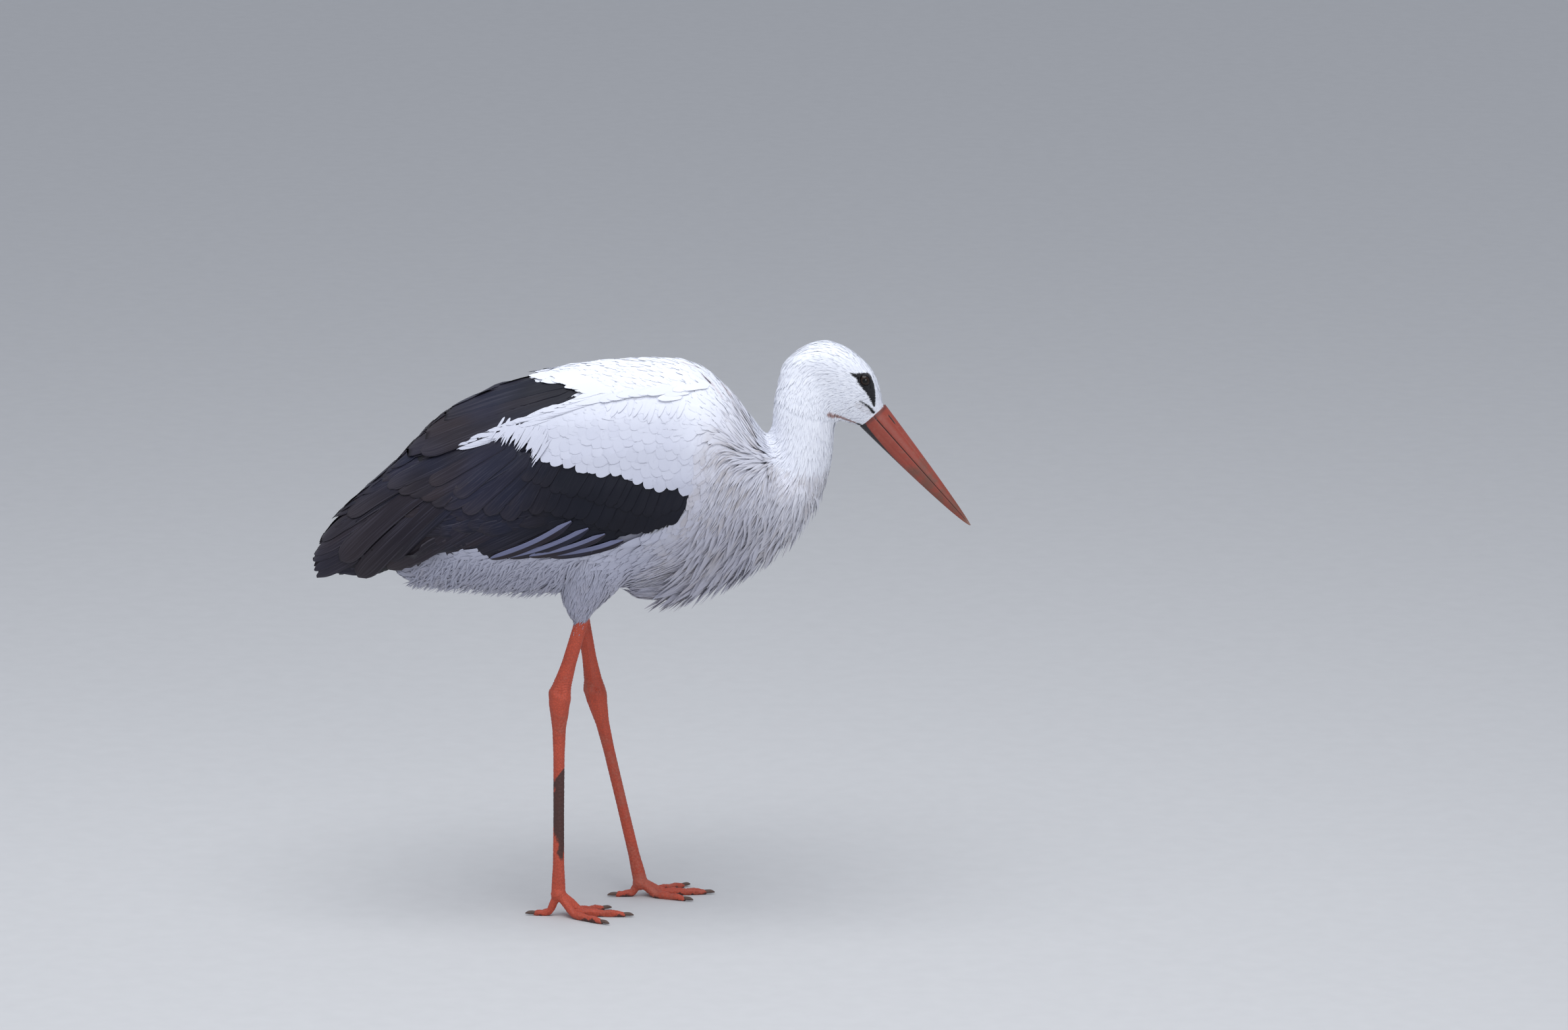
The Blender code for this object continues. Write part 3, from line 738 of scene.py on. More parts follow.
def knobbed(mesh, side):
    """The ankle's two knuckles with the hollow between them, and the pad behind the joint."""
    points, normals = points_of(mesh), normals_of(mesh)
    ankle = np.array(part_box(f"tarsus_{side}")[1])
    ankle[:2] = points[np.abs(points[:, 2] - ankle[2]) < 3 * MM].mean(0)[:2]
    away = (points - ankle) / MM
    swell = np.zeros(len(points))
    for ahead, up, size, rise in KNUCKLES:
        swell += rise * np.exp(-((away[:, 0] - ahead) ** 2 + (away[:, 2] - up) ** 2) / size**2)
    folds = 0.25 * np.sin(away[:, 2] * 2.3 + np.sin(away[:, 0] * 0.7))
    folds *= np.exp(-((away[:, 2] - 12) / 9) ** 2)
    moved = points + normals * ((swell + folds) * MM)[:, None]
    mesh.vertices.foreach_set("co", moved.astype(np.float32).ravel())
    return mesh


def leg_skin(side):
    """Shank, tarsus, toes and webs of one side as one scaly skin."""
    claws = [sum(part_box(f"claw_{side}_{toe}"), Vector()) / 2 for toe in ("inner", "middle", "outer")]
    hind = sum(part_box(f"claw_{side}_hind"), Vector()) / 2
    ball = hind.lerp(claws[1], 0.31)
    ball.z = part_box(f"foot_{side}")[1].z * 0.45
    webs = bmesh.new()
    web_between(webs, ball, claws[0], claws[1])
    web_between(webs, ball, claws[1], claws[2])
    mesh = knobbed(melted(LEG_NODES[side], 0.78 * MM, 5, extra=webs), side)
    print(side, "leg skin:", len(mesh.polygons), "faces, ball of the foot", ball.to_tuple(4))
    return scaled(mesh, 11 if side == "left" else 12, 3.3 * MM, 0.55 * MM)


leg_meshes = [leg_skin(side) for side in SIDES]

# %% [markdown]
# ## Lid rims
#
# The edge of a lid is a smooth swollen rim. It is a ring like a bent rod: circles set around the
# opening of the eye, each joined to the next. The ring lies on the eyeball, so no gap shows between.


# %% Lid rims
def lid_rim(side, rings=56, sides=10):
    """A ring of skin around the eye's opening, drawn out a little towards the bill and the nape."""
    eye, out = EYES[side], SIDES[side]
    thick = 0.75 * MM
    points = []
    for i in range(rings):
        turn = 2 * math.pi * i / rings
        reach = (5.9 + 0.9 * abs(math.cos(turn)) ** 5) * MM
        way = ALONG * math.cos(turn) + ABOVE * math.sin(turn)
        lift = math.sqrt(max(EYE_RADIUS**2 - reach**2, (3.0 * MM) ** 2))
        centre = eye + way * reach + np.array((0, out * (lift + 0.1 * MM), 0))
        for j in range(sides):
            roll = 2 * math.pi * j / sides
            across = way * math.cos(roll) * thick * 1.25
            points.append(centre + across + np.array((0, out * math.sin(roll) * thick, 0)))
    index = np.arange(rings * sides).reshape(rings, sides)
    next_ring, next_side = np.roll(index, -1, 0), np.roll(index, -1, 1)
    quads = np.stack([index, next_ring, np.roll(next_ring, -1, 1), next_side], -1).reshape(-1, 4)
    return mesh_of("lid", np.array(points), quads if out > 0 else quads[:, ::-1])


lids = [lid_rim(side) for side in SIDES]
print("lid rims:", [len(lid.polygons) for lid in lids], "faces")

# %% [markdown]
# ## One closed skin
#
# Body and legs are joined by a union, which keeps only the outside of both, so no wall is left inside
# the thigh. The lid rims are small closed rings that lie in the skin, and go into the same mesh.


# %% Join the skin
def joined(name, meshes):
    """Closed meshes side by side in one mesh, all facing outwards."""
    shape = bmesh.new()
    for mesh in meshes:
        shape.from_mesh(mesh)
    bmesh.ops.recalc_face_normals(shape, faces=shape.faces)
    mesh = bpy.data.meshes.new(name)
    shape.to_mesh(mesh)
    shape.free()
    return mesh


def united(first, second):
    """Two closed meshes made one, without what lies inside."""
    other = bpy.data.objects.new("other", second)
    bpy.context.scene.collection.objects.link(other)
    mesh = evaluated(first, ("BOOLEAN", {"operation": "UNION", "object": other, "solver": "MANIFOLD"}))
    bpy.data.objects.remove(other)
    return mesh


legs = joined("legs", leg_meshes)
skin_mesh = joined("skin", [united(body_skin, legs), *lids])
skin_mesh.shade_smooth()
print("skin:", len(skin_mesh.polygons), "faces")


# %% [markdown]
# ## Finishing a piece
#
# Each piece rides on the bird's one body, takes the finish it is given, and may stand for solids, which
# are then hidden.


# %% Show a piece
def show(name, mesh, material, replaces=()):
    """Adds a piece to the model, with its finish and the solids it stands for."""
    piece = bpy.data.objects.new(name, mesh)
    bpy.context.scene.collection.objects.link(piece)
    mesh.materials.append(material)
    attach(piece, "root")
    if replaces:
        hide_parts(*replaces)
    mesh.calc_loop_triangles()
    print(f"{name}: {len(mesh.loop_triangles)} triangles")


# %% [markdown]
# ## The skin's finish
#
# The skin is one mesh with several looks: red scaly legs, pale skin under the white plumage, greyed by
# the same painted shade as the feathers, and black under the black, with mud on one tarsus. Separate
# materials would meet in hard lines, so one material blends them by values stored at the mesh's points.


# %% Mark the skin
def mark_skin(mesh):
    """Stores where the skin is bare, where it is muddy, and the markings."""
    points = points_of(mesh)
    owners = solid_at(points)
    for name, values in markings(points, owners).items():
        put_attribute(mesh, name, values)
    leg_tree, _ = label_tree([node for side in SIDES for node in LEG_NODES[side]])
    from_leg = np.array([leg_tree.find_nearest(place)[3] for place in points.tolist()])
    bare = np.clip(2.4 - from_leg / (1.2 * MM), 0, 1)
    x, z = points[:, 0] / MM, points[:, 2] / MM
    put_attribute(mesh, "bare", np.maximum(bare, z < 250))
    on_tarsus = (points[:, 1] < 0) & (z < 190)
    front = np.clip((x + 102) / 16, 0, 1)
    mud = np.clip((z - 50) / 40, 0, 1) * np.clip((172 - z) / 25, 0, 1) * front * on_tarsus
    put_attribute(mesh, "mud", np.maximum(mud, 0.5 * np.clip((9 - z) / 8, 0, 1)))


mark_skin(skin_mesh)
print("skin marks:", [layer.name for layer in skin_mesh.attributes if layer.data_type == "FLOAT"])

# %% [markdown]
# ## Red legs and scales
#
# The red comes from carotenoids in the stork's food. It is a little patchy and dusty on top of the
# scales, and painted darker between them as shade in their grooves. Each layer is a mix over the one
# before, as a painter would glaze it.

# %% Skin and scales
skin_finish = Finish("stork_skin", {"Roughness": 0.5, "Specular IOR Level": 0.3})
ink = skin_finish.attribute("ink")
bare = skin_finish.attribute("bare")
spots = skin_finish.noise(skin_finish.place(), 420, 4)
blotches = skin_finish.noise(skin_finish.place(), 36, 3)
blotchy = skin_finish.band(blotches, 0.35, 0.65)
leg_red = skin_finish.mix(blotchy, (0.50, 0.080, 0.042), (0.40, 0.058, 0.030))
cells = {"Vector": skin_finish.place(), "Scale": 420}
from_border = skin_finish.node("TexVoronoi", {"feature": "DISTANCE_TO_EDGE"}, cells)
# Painted shade: the red is darkened along the borders between scale cells.
hollow = 1 - skin_finish.band(from_border, 0.0, 0.16)
leg_red = skin_finish.mix(hollow * 0.45, leg_red, (0.22, 0.050, 0.035))
dust = skin_finish.band(blotches + spots * 0.5, 0.72, 0.95)
leg_red = skin_finish.mix(dust * 0.25, leg_red, (0.46, 0.20, 0.14))
caked = skin_finish.noise(skin_finish.place(), 90, 3, stretch=(1, 1, 0.45))
muddy = skin_finish.band(skin_finish.attribute("mud") + caked * 1.5 + spots * 0.2, 1.28, 1.42)
leg_red = skin_finish.mix(muddy * 0.9, leg_red, (0.035, 0.026, 0.024))
# Painted shade: the pale skin under the white plumage is greyed as the feathers over it are.
under_down = skin_finish.mix(skin_finish.attribute("frost"), (0.80, 0.81, 0.87), (0.36, 0.37, 0.47))
under_down = skin_finish.mix(ink, under_down, (0.012, 0.012, 0.015))
under_down = skin_finish.mix(skin_finish.attribute("blush"), under_down, (0.30, 0.16, 0.14))
skin_colour = skin_finish.mix(bare, under_down, leg_red)
skin_material = skin_finish.done(Base_Color=skin_colour, Normal=skin_finish.bump(spots, 0.25, 0.4 * MM))
leg_solids = [node for side in SIDES for node in LEG_NODES[side]]
show("skin", skin_mesh, skin_material, replaces=FLESH + leg_solids)

# %% [markdown]
# ## The lie of the coat
#
# Feathers point away from the bill, down the neck, back over the shoulders and down the thighs. A few
# guides hold this knowledge: at a place seen from the side, feathers point this way. Everywhere else
# the way is a blend of the guides nearby, laid flat on the coat.

# %% Guides
GUIDES = (
    ((249, 579), (-0.50, 0.85)), ((201, 617), (-0.90, 0.15)), ((215, 562), (-0.85, 0.05)),
    ((232, 548), (-0.75, -0.25)), ((150, 590), (-0.35, -0.95)), ((172, 550), (-0.12, -1.0)),
    ((205, 520), (0.02, -1.0)), ((172, 515), (-0.12, -1.0)), ((186, 470), (-0.22, -1.0)),
    ((180, 440), (-0.50, -0.88)), ((140, 400), (-0.70, -0.72)), ((100, 372), (-0.78, -0.62)),
    ((40, 350), (-0.92, -0.38)), ((142, 476), (-0.60, -0.80)), ((130, 500), (-0.85, -0.25)),
    ((118, 528), (-0.75, 0.55)), ((90, 470), (-0.55, -0.85)), ((76, 585), (-0.92, 0.25)),
    ((62, 500), (-0.45, -0.9)), ((0, 592), (-1.0, -0.06)), ((-60, 585), (-1.0, -0.15)),
    ((0, 400), (-0.85, -0.50)), ((-60, 385), (-0.95, -0.25)), ((-140, 372), (-0.97, -0.22)),
    ((-220, 360), (-1.0, -0.10)),
)
GUIDE_BLUR = 14 * MM
GUIDE_PLACES = np.array([place for place, _ in GUIDES]) * MM
GUIDE_WAYS = np.array([way for _, way in GUIDES])
THIGH_WAY = np.array((-0.30, 0, -0.95))
FRINGE_WAY = np.array((-0.60, 0, -0.80))


def flat_on(ways, normals):
    """Ways laid flat on the surface that has those normals."""
    return unit(ways - normals * (ways * normals).sum(-1, keepdims=True))


def lie_at(points, normals):
    """The way that feathers point at each place of the coat."""
    away = ((points[..., None, ::2] - GUIDE_PLACES) ** 2).sum(-1)
    weight = 1 / (away + GUIDE_BLUR**2) ** 2
    blend = (weight[..., None] * GUIDE_WAYS).sum(-2)
    ways = np.stack([blend[..., 0], np.zeros_like(blend[..., 0]), blend[..., 1]], -1)
    return flat_on(ways, normals)


def thigh_lie(points, normals):
    """Down the leg and a little back."""
    return flat_on(np.broadcast_to(THIGH_WAY, points.shape), normals)


def fringe_lie(points, normals):
    """Half laid on the coat and half hanging."""
    laid = flat_on(np.broadcast_to(FRINGE_WAY, points.shape), normals)
    return unit(laid + FRINGE_WAY * 0.5)


def hanging_lie(points, normals):
    """The coat's lie, drawn down a little by the plume's weight."""
    return unit(lie_at(points, normals) + np.array((0, 0, -0.3)))


print("guides:", len(GUIDES))

# %% [markdown]
# ## A place for each feather's colour
#
# Colours can be painted onto an image through each piece's `OFBake` map. A feather gets one small square
# of that image, at its root's place on an unwrapped copy of the skin, so feathers that grow side by side
# stay side by side there.

# %% Unwrap a light copy of the skin
PATCH = 0.003


def unwrapped_skin():
    """A light copy of the body's skin: its points, its triangles and their places when laid flat."""
    light = evaluated(body_skin, ("DECIMATE", {"ratio": 0.12}), ("TRIANGULATE", {}))
    obj = bpy.data.objects.new("unwrap", light)
    bpy.context.scene.collection.objects.link(obj)
    bpy.context.view_layer.objects.active = obj
    obj.select_set(True)
    light.uv_layers.new(name="OFBake")
    bpy.ops.object.mode_set(mode="EDIT")
    bpy.ops.mesh.select_all(action="SELECT")
    bpy.ops.uv.smart_project(angle_limit=math.radians(70), island_margin=0.008)
    bpy.ops.object.mode_set(mode="OBJECT")
    places = points_of(light)
    triangles = np.array([face.vertices[:] for face in light.polygons])
    spots = np.empty(len(light.loops) * 2, np.float32)
    light.uv_layers["OFBake"].uv.foreach_get("vector", spots)
    bpy.data.objects.remove(obj)
    return places, triangles, spots.reshape(-1, 3, 2)


SKIN_PLACES, SKIN_TRIANGLES, SKIN_SPOTS = unwrapped_skin()
skin_tree = BVHTree.FromPolygons(SKIN_PLACES.tolist(), SKIN_TRIANGLES.tolist())


def spots_of(roots):
    """Where each root's place is on the unwrapped skin."""
    found = []
    for root in roots.tolist():
        foot, _, face, _ = skin_tree.find_nearest(root)
        corners = [Vector(SKIN_PLACES[i]) for i in SKIN_TRIANGLES[face]]
        flat = [Vector((*spot, 0)) for spot in SKIN_SPOTS[face]]
        found.append(barycentric_transform(foot, *corners, *flat)[:2])
    return np.clip(np.array(found), PATCH, 1 - PATCH)


print("unwrapped skin:", len(SKIN_TRIANGLES), "triangles")

# %% [markdown]
# ## How a feather is made
#
# A feather is a vane: rows of points along its shaft, with a few points across in each. A flat card
# with a picture of a feather would be lighter, but it has no thickness and no edge. Here the upper
# side bulges a little and the underside has a low keel, so each feather is a thin closed solid. Its
# root sits in the depth of the plumage and its tip comes to the surface, so feathers overlap like
# shingles. All feathers of a tract are worked out at once, as arrays.


# %% Vanes
def vane_faces(count, rows, columns):
    """Faces of closed vanes. Each row has its points across, and one last point under its middle."""
    grid = np.arange(rows * (columns + 1)).reshape(rows, columns + 1)
    first = (np.arange(count) * grid.size)[:, None, None]
    near, far = grid[:-1, : columns - 1], grid[1:, : columns - 1]
    top = np.stack([near, far, far + 1, near + 1], -1).reshape(-1, 4)
    left, right, low = grid[:, 0], grid[:, columns - 1], grid[:, columns]
    halves = [np.stack([a[:-1], b[:-1], b[1:], a[1:]], -1) for a, b in ((left, low), (low, right))]
    column, middle = np.arange(columns - 1), np.full(columns - 1, columns)
    root_end = grid[0][np.stack([column, column + 1, middle], -1)]
    tip_end = grid[-1][np.stack([column + 1, column, middle], -1)]
    kinds = top, np.concatenate(halves), np.concatenate([root_end, tip_end])
    return [(faces[None] + first).reshape(-1, faces.shape[1]) for faces in kinds]


print("one vane of 6 rows and 4 columns:", sum(len(faces) for faces in vane_faces(1, 6, 4)), "faces")

# %% [markdown]
# ## Many vanes in one mesh
#
# A tract's feathers go into one mesh, with the values that their finish reads: the markings, a chance
# value for each feather, and two maps. The map `vane` says how far across and along a vane a point
# is. Its shading is turned towards the coat's, as real barbs blend into one soft surface.

# %% Batches of vanes
MARKS = ("ink", "stain", "blush", "chance", "frost")


def batch_of(points, normals, share, spread, marks, roots):
    """Vanes of one kind, ready to be joined with others. points: feather, row, column, xyz."""
    count, rows, columns, _ = points.shape
    width = np.linalg.norm(points[:, :, -1] - points[:, :, 0], axis=-1)
    low = points[:, :, columns // 2] - normals * np.minimum(0.06 * width, 0.4 * MM)[..., None]
    points = np.concatenate([points, low[:, :, None]], 2)
    reach = np.broadcast_to(share[None, :, None], (count, rows, columns + 1))
    across = np.broadcast_to(np.append(spread, 0), (count, rows, columns + 1))
    square = np.stack([across / 2, reach - 0.5], -1) * PATCH
    batch = {
        "points": points.reshape(-1, 3),
        "faces": vane_faces(count, rows, columns),
        "normals": np.broadcast_to(normals[:, :, None], points.shape).reshape(-1, 3),
        "vane": np.stack([across, reach], -1).reshape(-1, 2),
        "OFBake": (spots_of(roots)[:, None, None, :] + square).reshape(-1, 2),
    }
    for mark in MARKS:
        value = np.array(marks.get(mark, 0.0))
        if value.ndim == 3:
            value = np.concatenate([value, value[:, :, columns // 2, None]], 2)
        elif value.ndim == 1:
            value = value[:, None, None]
        batch[mark] = np.broadcast_to(value, (count, rows, columns + 1)).ravel()
    return batch


def feather_mesh(name, batches, softness):
    """One mesh of many vanes. Softness turns each vane's shading from its own towards the coat's."""
    firsts = np.cumsum([0] + [len(batch["points"]) for batch in batches])
    keys = [key for key in batches[0] if key != "faces"]
    together = {key: np.concatenate([batch[key] for batch in batches]) for key in keys}
    faces = [sides + first for batch, first in zip(batches, firsts) for sides in batch["faces"]]
    mesh = mesh_of(name, together["points"], *faces)
    corners = np.empty(len(mesh.loops), np.int32)
    mesh.loops.foreach_get("vertex_index", corners)
    for layer in ("OFBake", "vane"):
        flat = together[layer][corners].astype(np.float32).ravel()
        mesh.uv_layers.new(name=layer).uv.foreach_set("vector", flat)
    for mark in MARKS:
        put_attribute(mesh, mark, together[mark])
    soft = unit(normals_of(mesh) * (1 - softness) + together["normals"] * softness)
    upper = np.repeat(np.tile((True, False, False), len(batches)), [sides.size for sides in faces])
    plain = np.empty(len(mesh.polygons) * 3, np.float32)
    mesh.polygons.foreach_get("normal", plain)
    face_sizes = np.concatenate([np.full(len(sides), sides.shape[1]) for sides in faces])
    plain = np.repeat(plain.reshape(-1, 3), face_sizes, axis=0)
    mesh.normals_split_custom_set(np.where(upper[:, None], soft[corners], plain).tolist())
    return mesh


print("marks:", MARKS)

# %% [markdown]
# ## A tract of feathers
#
# Feathers of one kind grow from a tract of skin. Each shaft starts at its root and takes a few steps
# along the lie of the coat. Rows of the vane are set across the shaft, wide or narrow by the kind's
# outline. Small differences between neighbours keep the coat from looking stamped.


# %% Tracts
def shafts(roots, lengths, rows, lie, wander, cling, rng):
    """Each feather's shaft, stepped along the lie of the coat: places, normals and ways."""
    here, found = roots, []
    turn = rng.normal(0, wander, len(roots))
    way = None
    for hold in cling ** np.arange(rows):
        foot, normal = coat.nearest(here)
        here = here + (foot - here) * hold
        laid = lie(here, normal)
        side = np.cross(normal, laid)
        laid = laid * np.cos(turn)[:, None] + side * np.sin(turn)[:, None]
        way = laid if way is None else unit(way * (1 - 0.6 * hold) + laid * 0.6 * hold)
        found.append((here, normal, way))
        here = here + way * (lengths / (rows - 1))[:, None]
    return [np.stack(part, 1) for part in zip(*found)]


def not_hollow(slide, spread):
    """Ragged ends, kept outside the straight line between a vane's two edges."""
    share = (spread + 1) / 2
    return np.maximum(slide, slide[..., :1] * (1 - share) + slide[..., -1:] * share)


def feathers(name, roots, rng, *, length, half_width, outline, depth, lift, marks, columns=4,
             camber=0.3, fray=0.0, wander=0.1, cling=1.0, tilt=0.12, back=0.0,
             lie=lie_at, softness=0.75, painted=False):
    """A tract of feathers. Lengths, widths, depths and lifts are numbers or arrays, in millimetres."""
    count, rows = len(roots), len(outline)
    share = np.linspace(0, 1, rows)
    vary = rng.uniform(0.85, 1.15, count)
    length, half_width = length * MM * vary, half_width * MM * rng.uniform(0.85, 1.15, count)
    places, normals, ways = shafts(roots, length, rows, lie, wander, cling, rng)
    across = unit(np.cross(normals, ways))
    spread = np.linspace(-1, 1, columns)
    half = half_width[:, None] * np.array(outline)
    sunk = np.outer(-np.ones(count) * depth, (1 - share) ** 1.3)
    raised = np.outer(np.ones(count) * lift, share**1.5)
    unevenness = (depth if np.ndim(depth) == 0 else 4) * MM
    level = (sunk + raised) * MM + rng.normal(0, 0.08, count)[:, None] * unevenness
    roll = rng.normal(0, tilt, count)[:, None, None] * spread
    height = level[..., None] + half[..., None] * (camber * (1 - spread**2) + roll)
    jag = rng.uniform(-1, 0.4, (count, 1, columns)) * fray * (share**5)[None, :, None]
    set_back = -back * (spread**2) * (share**4)[:, None]
    narrowing = np.maximum(half - np.roll(half, -1, 1), 1e-9)
    narrowing[:, 1:] = narrowing[:, :-1]
    room = np.minimum(0.75, 0.42 * half / narrowing)[..., None] * length[:, None, None] / (rows - 1)
    slide = np.clip(length[:, None, None] * jag + half_width[:, None, None] * set_back, -room, room)
    slide = not_hollow(slide, spread)
    points = places[:, :, None] + across[:, :, None] * (half[..., None] * spread)[..., None]
    points = points + normals[:, :, None] * height[..., None] + ways[:, :, None] * slide[..., None]
    if painted:
        everywhere = markings(points.reshape(-1, 3), solid_at(points.reshape(-1, 3)))
        marks = {mark: value.reshape(points.shape[:3]) for mark, value in everywhere.items()}
    marks = marks | {"chance": rng.uniform(0, 1, count)}
    return feather_mesh(name, [batch_of(points, normals, share, spread, marks, roots)], softness)


way = lie_at(*coat.nearest(np.array([(0.1, -0.05, 0.5)])))[0]
print("feathers at the shoulder point", way.round(2))

# %% [markdown]
# ## Where feathers grow
#
# Roots could be set in a grid, but its rows would show through the plumage. Here they are strewn
# over the coat by chance, and a root too close to one already there is dropped. That gives an even
# cover with no visible rows, as on a real bird's body.

# %% Strewing roots
coat_faces = np.array([face if len(face) == 4 else (*face, face[0]) for face in coat.faces])
coat_corners = coat.points[coat_faces]
coat_centres = coat_corners.mean(1)
coat_areas = 0.5 * np.linalg.norm(
    np.cross(coat_corners[:, 2] - coat_corners[:, 0], coat_corners[:, 3] - coat_corners[:, 1]), axis=-1
)
face_owner = solid_at(coat_centres)


def strewn(rng, chosen, gap):
    """Roots on the chosen faces of the coat, at least a gap apart. The gap may differ by face."""
    faces = np.flatnonzero(chosen)
    gaps = np.broadcast_to(gap, len(coat_faces))[faces] * MM
    share = coat_areas[faces] / gaps**2
    picks = rng.choice(len(faces), int(share.sum() * 2.2), p=share / share.sum())
    a, b = rng.uniform(0, 1, (2, len(picks), 1))
    corners = coat_corners[faces[picks]]
    points = (corners[:, 0] * (1 - a) + corners[:, 1] * a) * (1 - b)
    points = points + (corners[:, 3] * (1 - a) + corners[:, 2] * a) * b
    return spaced(points, gaps[picks])


print("places for roots:", len(coat_faces), "faces,", round(coat_areas.sum(), 4), "square metres")
EDGE_GROUP = ((-8, 419, 8), (-60, 413, 11), (-120, 409, 10), (-172, 403, 7))


def clear_of_black(roots, length):
    """The roots whose feathers can end on white ground, and the length of each."""
    _, normals = coat.nearest(roots)
    ways = lie_at(roots, normals)
    fits = np.zeros(len(roots))
    for share in (0.4, 0.6, 0.8, 1.0):
        tips = roots + ways * share * length * MM
        dark = in_black(tips, 0.25) | (stroke(tips[:, ::2] / MM, EDGE_GROUP) > 0)
        fits = np.where(dark, fits, share)
    return roots[fits > 0], length * fits[fits > 0]


def marked(roots):
    """The markings at the roots."""
    return markings(roots, solid_at(roots))


POINTED = (0.7, 1.0, 0.75, 0.08)
LANCE = (0.5, 0.9, 1.0, 0.85, 0.5, 0.06)
ROUNDED = (0.5, 0.85, 1.0, 1.0, 0.85, 0.3)
DOWNY = (0.5, 0.9, 1.0, 0.9, 0.75, 0.45)

# %% [markdown]
# ## White feathers' finish
#
# White feathers hold no pigment: their fine barbs scatter light in every direction, with a soft sheen.
# Buff and grey stains gather on the breast, and painted shade lies behind the corner of the mouth. The
# painted shade that greys the breast and belly is a value stored at the points, as it follows the bird's
# form, and the stains are clouds of noise within their places.


# %% White feathers' finish
def vane_axes(finish):
    """How far across a vane each point is, from -1 to 1, and how far along, from 0 to 1."""
    across = finish.node("SeparateXYZ", {}, {0: finish.node("UVMap", {"uv_map": "vane"})})
    return across, Wire(finish, across.socket.node.outputs[1])


def barbs(finish, count):
    """Fine slanted lines across a vane, from its middle outwards."""
    across, along = vane_axes(finish)
    slant = finish.node("Math", {"operation": "ABSOLUTE"}, {0: across})
    wobble = finish.noise(finish.place(), 300, 2)
    lines = (along - slant * 0.35) * count + wobble * 9
    return finish.node("Math", {"operation": "SINE"}, {0: lines})


white = Finish("white_feathers", {
    "Roughness": 0.75, "Specular IOR Level": 0.3, "Sheen Weight": 0.25, "Sheen Roughness": 0.5,
})
chance, stain, ink = (white.attribute(mark) for mark in ("chance", "stain", "ink"))
streaks = white.noise(white.place(), 160, 3)
cloud = white.noise(white.place(), 26, 2)
tint = white.mix(chance, (0.82, 0.84, 0.91), (0.87, 0.89, 0.95))
# Painted shade: the white turns grey-blue by the stored amount, most on breast and belly.
tint = white.mix(white.attribute("frost"), tint, (0.36, 0.37, 0.47))
# Brown stains, and the painted shade behind the mouth.
soiling_and_shade = stain * white.band(cloud * 0.6 + streaks * 0.3 + chance * 0.35, 0.55, 1.10)
tint = white.mix(soiling_and_shade, tint, (0.33, 0.29, 0.27))
tint = white.mix(stain * 0.35, tint, (0.60, 0.58, 0.62))
tint = white.mix(white.attribute("blush"), tint, (0.36, 0.23, 0.22))
tint = white.mix(ink, tint, (0.010, 0.010, 0.013))
white_material = white.done(Base_Color=tint, Normal=white.bump(barbs(white, 150), 0.10, 0.2 * MM))
print("white:", len(white.tree.nodes), "nodes")

# %% [markdown]
# ## Black feathers' finish
#
# Under soft light a black feather shows a faint sheen along its barbs; here that sheen is painted in, as
# pale rays along the vane and bluish patches, and painted shade darkens the front of the wing. Its edge
# and its end are paler, where wear has taken the pigment. Four feathers low on the wing have a frosted
# grey half.

# %% Black feathers' finish
black = Finish("black_feathers", {
    "Roughness": 0.45, "Specular IOR Level": 0.2, "Sheen Weight": 0.02, "Sheen Roughness": 0.35,
})
across, along = vane_axes(black)
chance, frost = black.attribute("chance"), black.attribute("frost")
rays = black.node("CombineXYZ", {}, {"X": across * 9 + chance * 60, "Y": along * 2.5, "Z": chance * 90})
rays = black.noise(rays, 1.0, 3)
worn = black.band(along + rays * 0.6, 0.85, 1.5)
from_shaft = black.node("Math", {"operation": "ABSOLUTE"}, {0: across})
rim = black.band(from_shaft + rays * 0.3, 1.0, 1.25)
painted_sheen_patches = black.noise(black.place(), 12, 1)
soot = black.mix(chance, (0.009, 0.009, 0.017), (0.022, 0.016, 0.021))
# Painted sheen: bluish patches over the black.
soot = black.mix(black.band(painted_sheen_patches, 0.4, 0.65) * 0.6, soot, (0.016, 0.019, 0.044))
# Painted sheen: pale bluish rays along the barbs.
soot = black.mix(black.band(rays, 0.45, 0.8) * 0.6, soot, (0.062, 0.060, 0.086))
soot = black.mix(worn * 0.5, soot, (0.050, 0.040, 0.043))
soot = black.mix(rim * 0.5, soot, (0.085, 0.080, 0.098))
# Painted shade: the black is painted darker towards the front of the wing.
ahead = black.node("SeparateXYZ", {}, {0: black.place()})
soot = black.mix(black.band(ahead, -0.19, -0.06) * (1 - frost) * 0.9, soot, (0.004, 0.005, 0.011))
frosted = black.mix(rays, (0.10, 0.11, 0.19), (0.21, 0.22, 0.34))
soot = black.mix(frost * black.band(across + rays * 0.12, 0.0, 0.12), soot, frosted)
black_material = black.done(Base_Color=soot, Normal=black.bump(barbs(black, 620), 0.12, 0.2 * MM))
print("black:", len(black.tree.nodes), "nodes")

# %% [markdown]
# ## Head
#
# The smallest feathers are on the face, little more than bristles. They lengthen over the crown
# towards the nape. None grow on the eye, the lids or the bill. Hair strands would be finer still, but
# closed vanes keep their shape in every program.

